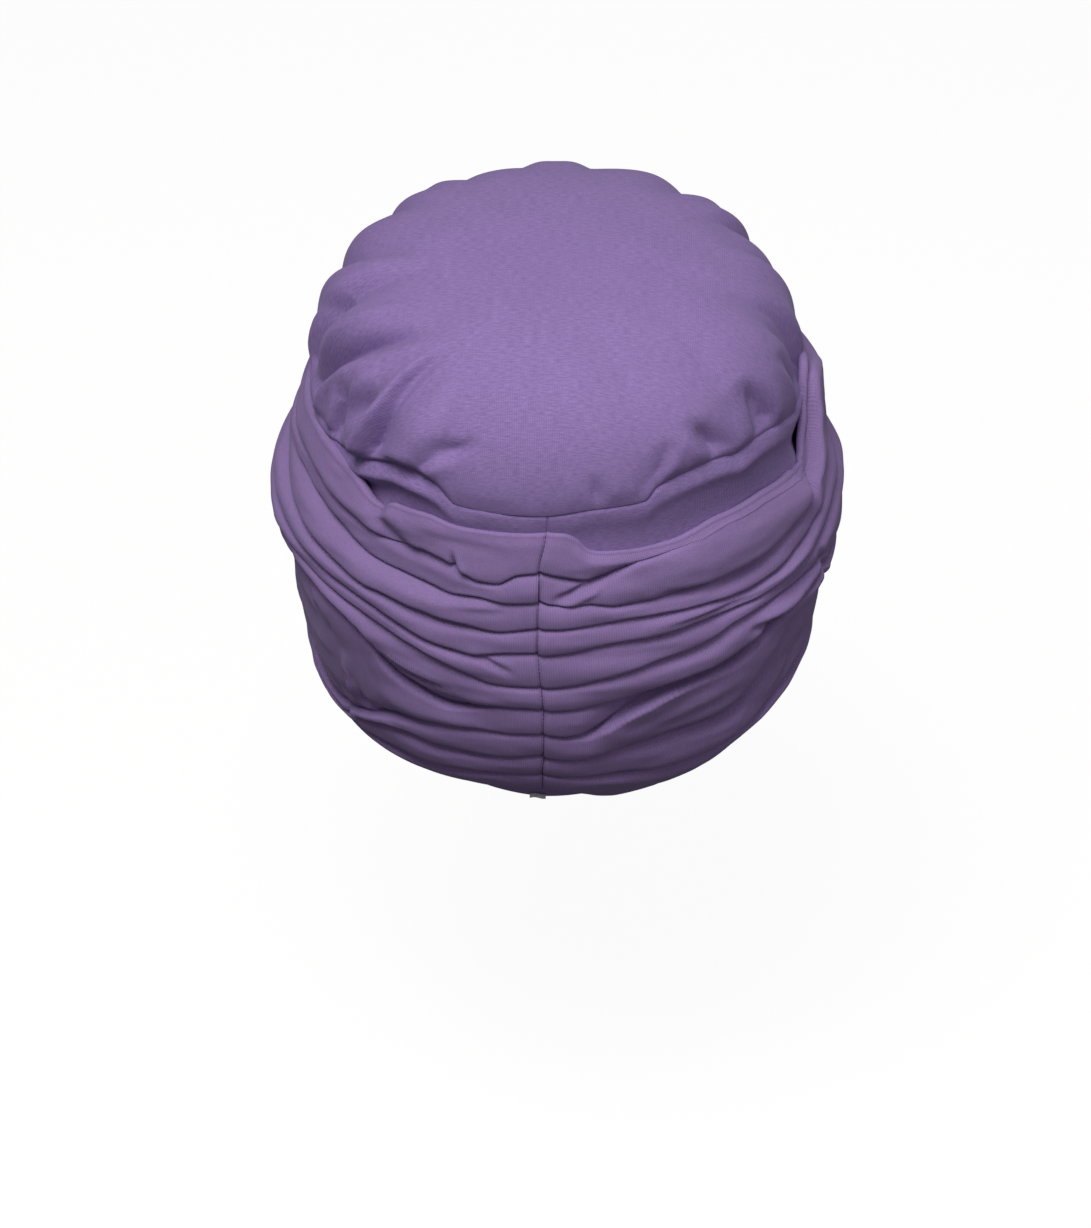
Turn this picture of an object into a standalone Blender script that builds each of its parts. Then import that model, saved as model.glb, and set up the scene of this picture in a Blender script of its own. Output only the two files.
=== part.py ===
"""Turban of knitted jersey: a gathered crown tip, a side band and two draped halves.

Lengths are in millimetres until a mesh is made. +Z is up, +Y is the wearer's front and
+X the wearer's right. Angles run from the centre back towards the sides, up to 180 degrees
at the centre front, and are positive on the wearer's right.
"""
import math

import bmesh
import bpy
import numpy as np

MM = 0.001

# walls and gaps
DRAPE_WALL = 2.0
CROWN_WALL = 1.8
HEM_WALL = 2.4
SEAM_GAP = 0.3
DRAPE_CLEARANCE = 0.6

# crown tip: an oval dome above the seam
SEAM_Z = 72.0
SEAM_SIDE = 92.0
SEAM_BACK = 97.0
SEAM_FRONT = 102.0
CROWN_RISE = 50.0
CROWN_PLAN_POWER = 2.9
CROWN_RISE_POWER = 2.1
CROWN_PUFF = 2.6
CROWN_COLUMNS = 72
CROWN_RINGS = 9
GATHER_EASE = 1.5
GATHER_END_AT_SEAM = 0.04

# drape and band: columns round one half, rows in one fold and down the band
HALF_COLUMNS = 22
FOLD_ROWS = 3
BAND_ROWS = 8
HEM_ROWS = 3
FOLD_ROUNDNESS = 0.45
TOP_ROLL = 0.25
FOLD_SAG = 0.2
FOLD_HEIGHT_FOR_FULL_BULGE = 9.0
LEAST_FOLD_HEIGHT = 1.5
LEAST_BULGE_ROOM = 1.6

# hem: height of the turned edge
HEM_HEIGHT = 12.0

# edges sharper than this are shaded as edges
SHARP_FROM = math.radians(50)

# label tab at the centre back of the hem
TAB_WIDTH = 6.0
TAB_HEIGHT = 2.2
TAB_THICKNESS = 1.2
TAB_OFFSET_X = -2.5

# plan of the drape at its fold crests, reaches in mm
DRAPE_PLAN = np.array([
    # height, left, right, back, front
    [90, 91, 91, 94, 107],
    [78, 94, 94, 97, 109],
    [60, 99, 99, 100, 114],
    [40, 106, 106, 104, 118],
    [22, 110, 110, 106, 120],
    [6, 110, 111, 107, 121],
    [-10, 107, 107, 106, 119],
    [-24, 101, 102, 104, 114],
    [-34, 98, 100, 101, 110],
    [-48, 95, 99, 96, 104],
    [-62, 90, 94, 89, 97],
    [-78, 80, 84, 80, 90],
], float)

# plan of the side band and hem, outer face, reaches in mm
BAND_PLAN = np.array([
    # height, left, right, back, front
    [72, 92, 92, 97, 102],
    [60, 92, 92, 96.5, 104],
    [40, 96, 96, 99, 109],
    [22, 99, 99, 100.5, 111],
    [6, 99.5, 100, 101.5, 112],
    [-10, 97, 97.5, 100.5, 110],
    [-24, 92.5, 94, 98.5, 105.5],
    [-34, 90, 92.5, 95.5, 102],
    [-48, 87, 91, 90.5, 96.5],
    [-62, 82.5, 86.5, 83.5, 90],
    [-78, 73, 77, 74.5, 83],
], float)

# angles at which the fold lines and edges are given
STATIONS = (0, 15, 30, 45, 60, 75, 100, 140, 180)

# heights of the fold lines at the stations, from the top edge down to the lower edge
LEFT_FOLD_LINES = np.array([
    [62.5, 61.0, 61.5, 57.5, 64.0, 65.0, 64.0, 71.0, 78.0],
    [47.5, 46.0, 47.0, 49.5, 55.0, 60.0, 58.0, 64.0, 69.0],
    [36.0, 35.5, 33.0, 34.5, 40.5, 53.0, 50.0, 57.0, 61.5],
    [25.0, 23.7, 25.9, 28.0, 32.8, 39.0, 42.0, 50.0, 54.0],
    [14.5, 12.8, 18.4, 24.2, 28.9, 32.0, 34.0, 42.0, 46.0],
    [-1.6, 1.0, 5.4, 17.8, 22.5, 24.5, 25.0, 33.0, 38.0],
    [-12.5, -15.5, -13.5, 6.5, 14.5, 13.0, 8.0, 22.0, 30.5],
    [-26.5, -30.5, -35.3, -47.0, -54.0, -40.0, -8.0, 13.0, 23.0],
    [-40.0, -45.0, -51.0, -60.0, -57.5, -48.0, -22.0, 3.0, 15.0],
    [-52.0, -57.0, -62.0, -64.0, -60.5, -52.0, -33.0, -7.0, 7.5],
    [-62.5, -65.5, -66.0, -68.0, -63.5, -57.0, -44.0, -17.0, 0.0],
])
RIGHT_FOLD_LINES = np.array([
    [62.0, 54.5, 53.1, 54.8, 54.0, 62.0, 64.0, 71.0, 78.0],
    [47.9, 47.0, 51.0, 53.0, 52.0, 57.0, 58.0, 64.0, 69.0],
    [35.4, 35.0, 32.5, 36.0, 40.0, 47.0, 51.0, 57.0, 61.5],
    [25.0, 25.8, 26.6, 31.0, 33.3, 38.0, 42.0, 50.0, 54.0],
    [13.6, 16.5, 18.4, 20.2, 17.9, 24.0, 32.0, 42.0, 46.0],
    [-2.0, 3.5, 8.3, 7.0, 6.0, 10.0, 22.0, 33.0, 38.0],
    [-13.0, -12.0, -9.5, -2.0, 3.5, 6.0, 13.0, 24.0, 30.5],
    [-27.0, -28.5, -21.2, -10.5, 0.0, 3.0, 4.0, 14.0, 23.0],
    [-40.0, -43.0, -40.0, -39.5, -8.0, -2.0, -8.0, 5.0, 15.0],
    [-52.5, -59.0, -61.5, -55.0, -49.0, -43.0, -26.0, -6.0, 7.5],
    [-62.5, -73.5, -74.0, -60.5, -53.0, -49.0, -42.0, -17.0, 0.0],
])

# lower edge of the hem at the stations, the same on both sides
HEM_LINE = (-71.0, -70.5, -62.0, -56.0, -49.5, -45.5, -39.0, -14.0, 2.5)

# gathers that dent the crown tip: each runs inwards from the seam
GATHERS = np.array([
    # angle at the seam, angle at its inner end, inner end as a share of the radius, width, depth
    [-166, -166, 0.55, 7, 3.6],
    [-146, -146, 0.55, 6, 3.4],
    [-126, -124, 0.55, 6, 3.4],
    [-103, -88, 0.45, 6, 5.0],
    [-86, -76, 0.45, 5, 3.4],
    [-74, -41, 0.66, 5, 4.2],
    [-59, -57, 0.88, 4, 2.6],
    [-52, -43, 0.82, 4, 2.6],
    [-44, -31, 0.70, 5, 4.0],
    [-28, -13, 0.86, 5, 1.8],
    [12, 11, 0.92, 4, 1.2],
    [25, 29, 0.88, 4, 2.0],
    [42, 36, 0.86, 4, 2.2],
    [56, 54, 0.84, 4, 2.2],
    [79, 70, 0.90, 4, 2.0],
    [90, 76, 0.66, 5, 3.8],
    [108, 106, 0.60, 5, 3.2],
    [123, 118, 0.55, 5, 4.0],
    [141, 140, 0.55, 6, 3.8],
    [174, 174, 0.58, 7, 3.2],
], float)

# colour, roughness: linear colour of each cloth
CROWN_CLOTH = ((0.250, 0.175, 0.400), 0.88)
DRAPE_CLOTH = ((0.240, 0.165, 0.385), 0.90)
TAB_CLOTH = ((0.720, 0.710, 0.700), 0.80)


def smooth(xs, ys, x):
    """Values at x on a smooth curve through the rows of ys that never overshoots them."""
    xs = np.asarray(xs, float)
    ys = np.asarray(ys, float)
    steps = np.diff(xs)
    slopes = np.diff(ys) / steps
    tangents = np.zeros_like(ys)
    same_way = slopes[1:] * slopes[:-1] > 0
    weight_a = 2 * steps[1:] + steps[:-1]
    weight_b = steps[1:] + 2 * steps[:-1]
    safe_a = np.where(same_way, slopes[:-1], 1.0)
    safe_b = np.where(same_way, slopes[1:], 1.0)
    mean = (weight_a + weight_b) / (weight_a / safe_a + weight_b / safe_b)
    tangents[1:-1] = np.where(same_way, mean, 0.0)
    x = np.clip(x, xs[0], xs[-1])
    i = np.clip(np.searchsorted(xs, x, side="right") - 1, 0, len(xs) - 2)
    t = (x - xs[i]) / steps[i]
    rise = ys[i] * (2 * t ** 3 - 3 * t ** 2 + 1) + ys[i + 1] * (3 * t ** 2 - 2 * t ** 3)
    bend = tangents[i] * (t ** 3 - 2 * t ** 2 + t) + tangents[i + 1] * (t ** 3 - t ** 2)
    return rise + steps[i] * bend


def plan_reach(plan, angle, height):
    """Sideways and lengthwise reach of a plan table at an angle in degrees and a height."""
    rows = plan[np.argsort(plan[:, 0])]
    left, right, back, front = (smooth(rows[:, 0], rows[:, k], height) for k in (1, 2, 3, 4))
    side = np.where(angle < 0, left, right)
    length = np.where(np.abs(angle) < 90, back, front)
    return side, length


def place(angle, side, length, height):
    """Point in mm on an oval of the given reaches."""
    turn = np.radians(angle)
    return np.stack([side * np.sin(turn), -length * np.cos(turn), height + 0 * turn], axis=-1)


def band_face(angle, height, inset=0.0):
    """Outer face of the side band, or a face set inwards from it."""
    side, length = plan_reach(BAND_PLAN, angle, height)
    return place(angle, side - inset, length - inset, height)


def drape_face(angle, height, lift, inset=0.0):
    """Face of the drape: lift 0 lies on the band, lift 1 reaches the fold crests."""
    band_side, band_length = plan_reach(BAND_PLAN, angle, height)
    crest_side, crest_length = plan_reach(DRAPE_PLAN, angle, height)
    seat = DRAPE_CLEARANCE + DRAPE_WALL
    room_side = np.maximum(crest_side - band_side - seat, LEAST_BULGE_ROOM)
    room_length = np.maximum(crest_length - band_length - seat, LEAST_BULGE_ROOM)
    side = band_side + seat + lift * room_side - inset
    length = band_length + seat + lift * room_length - inset
    return place(angle, side, length, height)


def crown_face(angle, share, inset=0.0):
    """Face of the crown tip at a share of the radius, puffed out and dented by the gathers."""
    side = (SEAM_SIDE - inset) * share
    length = np.where(np.abs(angle) < 90, SEAM_BACK - inset, SEAM_FRONT - inset) * share
    fall = (1 - share ** CROWN_PLAN_POWER) ** (1 / CROWN_RISE_POWER)
    point = place(angle, side, length, SEAM_Z + (CROWN_RISE - inset) * fall)
    outward = point - np.array([0.0, 0.0, SEAM_Z])
    outward = outward / np.linalg.norm(outward, axis=-1, keepdims=True)
    puff = CROWN_PUFF * np.sin(np.pi * share ** 4)
    return point + outward * (puff - gather_dent(angle, share))[..., None]


def gather_dent(angle, share):
    """Depth in mm of the gathers of the crown tip; none right at the seam and in the middle."""
    dent = np.zeros_like(angle * share)
    for seam_angle, inner_angle, inner, width, depth in GATHERS:
        along = np.clip((share - inner) / (1 - inner), 0, 1)
        middle = inner_angle + (seam_angle - inner_angle) * along
        off = (angle - middle + 180) % 360 - 180
        ramp = np.sin(np.pi / 2 * along) ** GATHER_EASE
        edge = np.clip((1 - share) / GATHER_END_AT_SEAM, 0, 1)
        dent += depth * ramp * edge * np.exp(-(off / width) ** 2)
    return dent


def cloth(name, colour, roughness):
    """Matt cloth material."""
    material = bpy.data.materials.new(name)
    material.use_nodes = True
    shader = material.node_tree.nodes["Principled BSDF"]
    shader.inputs["Base Color"].default_value = (*colour, 1.0)
    shader.inputs["Roughness"].default_value = roughness
    shader.inputs["Metallic"].default_value = 0.0
    return material


def make_object(name, shape, material):
    """Turn a bmesh in mm into a named object in metres."""
    bmesh.ops.triangulate(shape, faces=shape.faces[:])
    bmesh.ops.scale(shape, vec=(MM, MM, MM), verts=shape.verts[:])
    if shape.calc_volume(signed=True) < 0:
        bmesh.ops.reverse_faces(shape, faces=shape.faces[:])
    mesh = bpy.data.meshes.new(name)
    shape.to_mesh(mesh)
    shape.free()
    mesh.shade_smooth()
    mesh.set_sharp_from_angle(angle=SHARP_FROM)
    mesh.materials.append(material)
    made = bpy.data.objects.new(name, mesh)
    bpy.context.scene.collection.objects.link(made)
    return made


def grid_of_verts(shape, points):
    """Vertices for a grid of points, row by row."""
    return [[shape.verts.new(point) for point in row] for row in points]


def skin(shape, verts, closed):
    """Quads between the rows of a grid; closed joins the last column to the first."""
    columns = len(verts[0])
    last = columns if closed else columns - 1
    for upper, lower in zip(verts, verts[1:]):
        for j in range(last):
            k = (j + 1) % columns
            shape.faces.new((upper[j], lower[j], lower[k], upper[k]))


def walled_grid(outer, inner, closed):
    """Closed body between an outer and an inner grid of points, one column per angle."""
    shape = bmesh.new()
    outside = grid_of_verts(shape, outer)
    inside = grid_of_verts(shape, inner)
    skin(shape, outside, closed)
    skin(shape, inside[::-1], closed)
    skin(shape, [inside[0], outside[0]], closed)
    skin(shape, [outside[-1], inside[-1]], closed)
    if not closed:
        first = [[row[0] for row in inside], [row[0] for row in outside]]
        final = [[row[-1] for row in outside], [row[-1] for row in inside]]
        skin(shape, first, False)
        skin(shape, final, False)
    bmesh.ops.recalc_face_normals(shape, faces=shape.faces[:])
    return shape


def crown_tip():
    """Gathered oval panel on top of the head."""
    angle = np.linspace(-180, 180, CROWN_COLUMNS, endpoint=False)[None, :]
    share = np.sin(np.linspace(0, np.pi / 2, CROWN_RINGS + 1))[1:, None]
    shape = bmesh.new()
    faces = [crown_face(angle, share), crown_face(angle, share, CROWN_WALL)]
    outside, inside = (grid_of_verts(shape, face + [0, 0, SEAM_GAP / 2]) for face in faces)
    skin(shape, outside, True)
    skin(shape, inside, True)
    skin(shape, [outside[-1], inside[-1]], True)
    for ring, top in ((outside[0], CROWN_RISE), (inside[0], CROWN_RISE - CROWN_WALL)):
        middle = shape.verts.new((0, 0, SEAM_Z + top + SEAM_GAP / 2))
        for j, vert in enumerate(ring):
            shape.faces.new((middle, vert, ring[(j + 1) % len(ring)]))
    bmesh.ops.recalc_face_normals(shape, faces=shape.faces[:])
    return make_object("crown_tip", shape, cloth("crown_cloth", *CROWN_CLOTH))


def ring_angles():
    """Column angles round the whole head, the same as the drape's."""
    return np.arange(-HALF_COLUMNS, HALF_COLUMNS)[None, :] * 180.0 / HALF_COLUMNS


def hem_line(angle):
    """Height of the lower edge of the hem."""
    return smooth(STATIONS, HEM_LINE, np.abs(angle))


def crown_band():
    """Side band from the crown seam down inside the drape to the hem."""
    angle = ring_angles()
    down = np.linspace(0, 1, BAND_ROWS + 1)[:, None]
    top = SEAM_Z - SEAM_GAP / 2
    height = top + (hem_line(angle) + HEM_HEIGHT + SEAM_GAP - top) * down
    angle = angle + 0 * height
    shape = walled_grid(band_face(angle, height), band_face(angle, height, CROWN_WALL), True)
    return make_object("crown_band", shape, bpy.data.materials["crown_cloth"])


def hem():
    """Turned hem that closes the cap round the head."""
    angle = ring_angles()
    up = np.linspace(1, 0, HEM_ROWS + 1)[:, None]
    height = hem_line(angle) + HEM_HEIGHT * up
    angle = angle + 0 * height
    shape = walled_grid(band_face(angle, height), band_face(angle, height, HEM_WALL), True)
    return make_object("hem", shape, bpy.data.materials["drape_cloth"])


def fold_lines(table, angle):
    """Heights of the fold lines at the angles, each a little below the one above it."""
    lines = np.array([smooth(STATIONS, row, angle) for row in table])
    for i in range(1, len(lines)):
        lines[i] = np.minimum(lines[i], lines[i - 1] - LEAST_FOLD_HEIGHT)
    return lines


def drape(name, table, way):
    """One draped half, from the centre back seam to the centre front seam."""
    angle = np.linspace(0, 180, HALF_COLUMNS + 1)
    lines = fold_lines(table, angle)
    heights = []
    lifts = []
    for i, (upper, lower) in enumerate(zip(lines, lines[1:])):
        fold_height = upper - lower
        share_of_bulge = np.minimum(1, fold_height / FOLD_HEIGHT_FOR_FULL_BULGE)
        for t in np.arange(FOLD_ROWS) / FOLD_ROWS:
            across = TOP_ROLL + (1 - TOP_ROLL) * t if i == 0 else t
            lift = share_of_bulge * (4 * across * (1 - across)) ** FOLD_ROUNDNESS
            heights.append(upper - fold_height * (t + FOLD_SAG * lift * (1 - t) * t))
            lifts.append(lift)
    heights.append(lines[-1])
    lifts.append(np.zeros_like(angle))
    height = np.array(heights)
    lift = np.array(lifts)
    turned = way * angle + 0 * height
    shift = np.array([way * SEAM_GAP / 2, 0, 0])
    outer = drape_face(turned, height, lift) + shift
    inner = drape_face(turned, height, lift, DRAPE_WALL) + shift
    shape = walled_grid(outer, inner, False)
    return make_object(name, shape, bpy.data.materials["drape_cloth"])


def label_tab():
    """Small woven tab tucked under the hem at the centre back."""
    hem_bottom = hem_line(0.0)
    hem_point = band_face(np.array(0.0), hem_bottom, HEM_WALL / 2)
    shape = bmesh.new()
    bmesh.ops.create_cube(shape, size=1.0)
    bmesh.ops.scale(shape, vec=(TAB_WIDTH, TAB_THICKNESS, TAB_HEIGHT), verts=shape.verts[:])
    middle = (TAB_OFFSET_X, hem_point[1], hem_bottom - SEAM_GAP - TAB_HEIGHT / 2)
    bmesh.ops.translate(shape, vec=middle, verts=shape.verts[:])
    return make_object("label_tab", shape, cloth("tab_cloth", *TAB_CLOTH))


def main():
    for old in list(bpy.data.objects):
        bpy.data.objects.remove(old, do_unlink=True)
    cloth("drape_cloth", *DRAPE_CLOTH)
    crown_tip()
    crown_band()
    hem()
    drape("drape_left", LEFT_FOLD_LINES, -1)
    drape("drape_right", RIGHT_FOLD_LINES, 1)
    label_tab()


main()
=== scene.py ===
"""Looks of the jersey turban: gathered crown tip, side band, two draped halves, hem and seams.

Lengths are in millimetres until a mesh is made. +Z is up, +Y the wearer's front and +X the
wearer's right. Angles run from the centre back towards the sides, 180 degrees is the centre front,
and they are positive on the wearer's right.
"""
import math

import bmesh
import bpy
import numpy as np
from mathutils import Matrix, Vector


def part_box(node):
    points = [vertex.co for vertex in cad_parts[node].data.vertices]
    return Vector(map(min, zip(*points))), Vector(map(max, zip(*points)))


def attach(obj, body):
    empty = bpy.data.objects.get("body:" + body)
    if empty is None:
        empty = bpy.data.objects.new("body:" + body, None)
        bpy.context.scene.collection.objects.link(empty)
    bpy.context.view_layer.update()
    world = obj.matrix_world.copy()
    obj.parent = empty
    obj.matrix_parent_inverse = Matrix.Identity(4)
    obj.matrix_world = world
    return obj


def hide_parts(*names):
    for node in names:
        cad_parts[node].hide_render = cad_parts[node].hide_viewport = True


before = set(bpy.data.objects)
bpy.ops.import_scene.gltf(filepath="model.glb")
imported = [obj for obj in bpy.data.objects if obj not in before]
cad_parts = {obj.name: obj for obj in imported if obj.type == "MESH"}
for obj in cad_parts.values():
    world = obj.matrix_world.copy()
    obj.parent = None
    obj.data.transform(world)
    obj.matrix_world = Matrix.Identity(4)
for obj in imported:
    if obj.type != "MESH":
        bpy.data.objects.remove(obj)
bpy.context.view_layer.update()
MM = 0.001

# crown tip: the oval dome of the solid
SEAM_Z = 72.0
SEAM_SIDE = 92.0
SEAM_BACK = 97.0
SEAM_FRONT = 102.0
CROWN_RISE = 50.0
CROWN_PLAN_POWER = 2.9
CROWN_RISE_POWER = 2.1
CROWN_PUFF = 2.6
SEAM_HOLD = 0.05
GATHER_RISE = 8.0
BACK_STRAIGHTER = 0.45
OVERHANG_HEIGHT = 9.0
PULL_REACH = 4.0
CROWN_COLUMNS = 620
CROWN_RINGS = 140

# the tip's dome is straighter at the back, its swell starts from a point under it and its edge turns in
STRAIGHTER_WITHIN = 40
STRAIGHTER_FADE = 35
SWELL_CENTRE_DROP = 10
TIP_TURN_IN = ((0.35, 0.5), (1.0, 0.8), (2.2, 0.4))

# soft waves of the tip: depth, step across, step along, seed
CROWN_WAVES = ((0.5, 26, 22, 21), (0.22, 9, 12, 22))
CROWN_START = 0.01
CROWN_RING_POWER = 0.9
RIPPLE_CELLS = 64

# plan of the drape at its fold crests, reaches in mm
DRAPE_PLAN = np.array([
    # height, left, right, back, front
    [90, 91, 91, 94, 107],
    [78, 93, 96, 97, 109],
    [60, 96, 100.5, 100, 114],
    [40, 102, 105.5, 104.5, 118],
    [22, 109, 110, 106.5, 120],
    [6, 109, 109.5, 107, 121],
    [-10, 102, 105, 106.5, 119],
    [-24, 101, 103, 105, 114],
    [-34, 99.5, 102, 102.5, 110],
    [-48, 98, 101, 98, 104],
    [-62, 94.5, 97, 91.5, 97],
    [-78, 84, 87, 82, 90],
], float)

# plan of the side band and hem, outer face, reaches in mm
BAND_PLAN = np.array([
    # height, left, right, back, front
    [72, 92, 93.5, 97, 102],
    [60, 92, 94, 96.5, 104],
    [40, 96, 97, 99, 109],
    [22, 99, 99, 100.5, 111],
    [6, 99.5, 100, 101.5, 112],
    [-10, 97, 97.5, 100.5, 110],
    [-24, 92.5, 94, 98.5, 105.5],
    [-34, 90, 92.5, 95.5, 102],
    [-48, 87, 91, 90.5, 96.5],
    [-62, 82.5, 86.5, 85.5, 90],
    [-78, 73, 77, 79.5, 83],
], float)

# heights of the tip seam round the head: it hangs a little at the back and puckers up beside it
SEAM_LINE = np.array([
    # angle, height
    [-180, 72], [-110, 71], [-80, 66], [-66, 64.5], [-58, 66.5], [-49, 69], [-41.5, 73.8], [-35, 77.6],
    [-29.5, 78], [-24.5, 76], [-22, 72.5], [-20, 70.3], [-10, 70], [0, 70.4], [12, 72.6], [23, 72.6],
    [26, 77], [38, 79.8], [43, 79.2], [48, 77], [54, 77.6], [66, 73], [80, 66], [92, 66], [115, 71],
    [180, 72],
], float)

# fold lines of each half, from the top edge down to the lower edge: angle and height of one point after another
FOLD_LINES = {
    "left": (
        (0, 61.8, 8, 61.2, 18, 60.6, 26, 61.5, 34, 60.4, 44, 60.5, 52, 62, 60, 62.6, 70, 62.6, 80, 60.5, 100, 62,
         140, 71, 180, 78),
        (0, 47.5, 4.5, 47, 9, 43.2, 13, 42.8, 16.5, 44.6, 21, 47.6, 26, 48.2, 31, 46, 38, 46, 46, 47.5, 55, 49.5,
         64, 51, 70, 52, 80, 52, 100, 54, 140, 64, 180, 69),
        (0, 35.8, 6, 35.6, 12.5, 36.2, 19, 35.2, 26, 35.8, 33.5, 35.6, 40, 35.8, 46, 38, 55, 40.5, 64, 43.5,
         70, 45, 80, 46, 100, 47, 140, 57, 180, 61.5),
        (0, 24.6, 5, 24, 9.5, 23.6, 14, 24, 20, 24.4, 25, 24.8, 32, 25.4, 38, 24.8, 42, 25.4, 50, 27.5, 61, 30.5,
         70, 33.5, 80, 36, 100, 40, 140, 50, 180, 54),
        (0, 14.2, 6.5, 14, 11, 12.4, 14, 11.4, 18, 11.8, 23, 12.8, 28, 15.2, 32, 16.8, 38, 18.6, 44, 19.2,
         52, 20.5, 62, 22.5, 72, 25.5, 80, 28, 100, 32, 140, 42, 180, 46),
        (0, -1.6, 6, -1.6, 10, -1.6, 14.5, 1.2, 19, 4.2, 25, 6.8, 30, 8.6, 36, 10.5, 42, 12.5, 50, 14, 60, 15.6,
         70, 18, 80, 20, 100, 23, 140, 33, 180, 38),
        (0, -12.4, 8, -13.6, 15.5, -17.4, 21, -19.4, 27, -18, 32.5, -15, 37, -9.6, 39.5, -2, 43.5, 4, 48, 7,
         56, 9.5, 66, 11, 76, 11, 85, 9.5, 100, 8, 140, 22, 180, 30.5),
        (0, -25.5, 6, -26, 14, -26.6, 22.5, -29.2, 30, -32.8, 37.5, -37.4, 46, -46, 54, -52, 62, -53.5, 70, -46,
         80, -34, 100, -8, 140, 13, 180, 23),
        (0, -38.2, 8, -40.2, 16.5, -41.8, 23.5, -41.8, 30.5, -41, 37, -42.5, 45, -49, 54, -56.5, 60, -57.5,
         70, -51, 80, -43, 100, -22, 140, 3, 180, 15),
        (0, -51, 5, -51.2, 15, -53.2, 21.5, -55.2, 28, -57, 38, -59, 50, -61, 60, -61, 70, -54.5, 80, -49,
         100, -33, 140, -7, 180, 7.5),
        (0, -62.8, 6, -64.8, 14, -67.2, 30, -68.6, 40, -69, 50, -67.5, 60, -64.5, 70, -59, 80, -54, 100, -44,
         140, -17, 180, 0),
    ),
    "right": (
        (0, 62, 3.5, 61.8, 7, 59, 9.5, 55, 11, 54, 16, 53.4, 21, 52.6, 28, 52.4, 34, 53.4, 42, 55, 52, 54.6,
         60, 53, 66, 50.8, 69, 49, 73, 48.6, 78, 53, 83, 61, 86, 69, 90, 73.5, 100, 71, 140, 74, 180, 78),
        (0, 48, 3.5, 46.6, 8, 44.4, 11, 43.6, 15.5, 45.8, 20, 48.2, 24, 49.8, 28, 50.6, 34, 51.8, 42, 53.4, 52, 53,
         60, 51.4, 66, 49.2, 69, 47.4, 73, 47, 78, 51.4, 83, 59.4, 86, 67.4, 90, 72, 100, 68, 140, 66.5, 180, 69),
        (0, 36, 3, 35.2, 6, 35.4, 10, 35.8, 15, 33.6, 24, 33.4, 35, 32.6, 43, 32.6, 50, 33.6, 57, 36.4, 63, 38.8,
         69, 42.4, 73, 45.2, 78, 49.9, 83, 57.9, 86, 65.9, 90, 70.5, 104, 64, 140, 59, 180, 61.5),
        (0, 25, 3.5, 25, 9.5, 26, 19, 27.2, 27.5, 26.8, 36, 25.4, 44, 23.6, 52, 23.8, 60, 26.5, 70, 31, 80, 38,
         100, 42, 140, 50, 180, 54),
        (0, 13.5, 5.5, 14.5, 11.5, 16.2, 17, 17.2, 23, 17.2, 30, 18.2, 40, 18.6, 50, 19, 60, 20.5, 70, 24, 80, 29,
         100, 32, 140, 42, 180, 46),
        (0, -2, 6, -1, 11.5, 1.3, 17.5, 3.3, 23.5, 6, 30, 7.4, 35, 9.8, 40, 13.4, 44, 14, 52, 13.4, 61, 11.5,
         70, 12.5, 80, 16, 100, 22, 140, 33, 180, 38),
        (0, -13, 3.5, -13, 9, -12, 15, -10.5, 20, -8.4, 28, -5, 36, -3.4, 44, 1, 50, 4.5, 58, 6, 70, 7.5, 80, 9,
         100, 13, 140, 24, 180, 30.5),
        (0, -26, 5, -27.2, 10, -26.6, 14, -23.4, 20, -18.4, 28, -12.4, 36, -11.4, 43, -10.2, 49, -6, 56, -2,
         61, 1.5, 68, 3, 80, 3.5, 100, 4, 140, 14, 180, 23),
        (0, -40.4, 6, -41.3, 12.5, -40, 19, -38.2, 26, -37.5, 33, -37, 41, -37.6, 47, -36, 54, -26, 60, -12,
         66, -5, 74, -3.6, 80, -3.5, 100, -8, 140, 5, 180, 15),
        (0, -51.5, 6, -52.5, 16, -53.5, 26.5, -56, 34, -56.5, 44, -54.5, 54, -50.5, 64, -46.5, 74, -43, 80, -40,
         100, -26, 140, -6, 180, 7.5),
        (0, -62.6, 4, -65.4, 8.5, -70, 13.5, -73, 20, -75, 30, -75, 36, -72, 42, -66, 50, -58.5, 60, -54,
         70, -50.5, 80, -47.5, 100, -42, 140, -17, 180, 0),
    ),
}

# a corner in the top edge of the left half: angle, how far it runs towards the back and away from it, rise
EDGE_CORNER = (39.0, 2.2, 6.0, -5.0)

# rounding of the top edge: angle, share of the lift it takes away, its width and the radius of the rolled cloth
RIMS = {
    "left": np.array([
        [0, 0.5, 3.5, 1.2], [30, 0.55, 4, 1.3], [36, 0.6, 3, 1.3], [39.5, 0.8, 2.5, 1.2], [44, 0.35, 4, 2],
        [60, 0.3, 5, 2.4], [80, 0.3, 5, 2.4], [100, 0.3, 4, 1.5], [180, 0.3, 4, 1.2],
    ]),
    "right": np.array([
        [0, 0.5, 3.5, 1.2], [6, 0.6, 4, 1.3], [10, 0.8, 2.5, 1], [22, 0.7, 3, 1], [30, 0.7, 6, 1.4],
        [60, 0.7, 7, 1.6], [66, 0.8, 6, 1.8], [70, 0.9, 4, 1.2], [85, 0.4, 4, 1.8], [180, 0.3, 4, 1.2],
    ]),
}

# angles at which the manner of the folds is given
MANNER_AT = (0, 8, 20, 35, 50, 67, 72, 88, 180)

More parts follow.
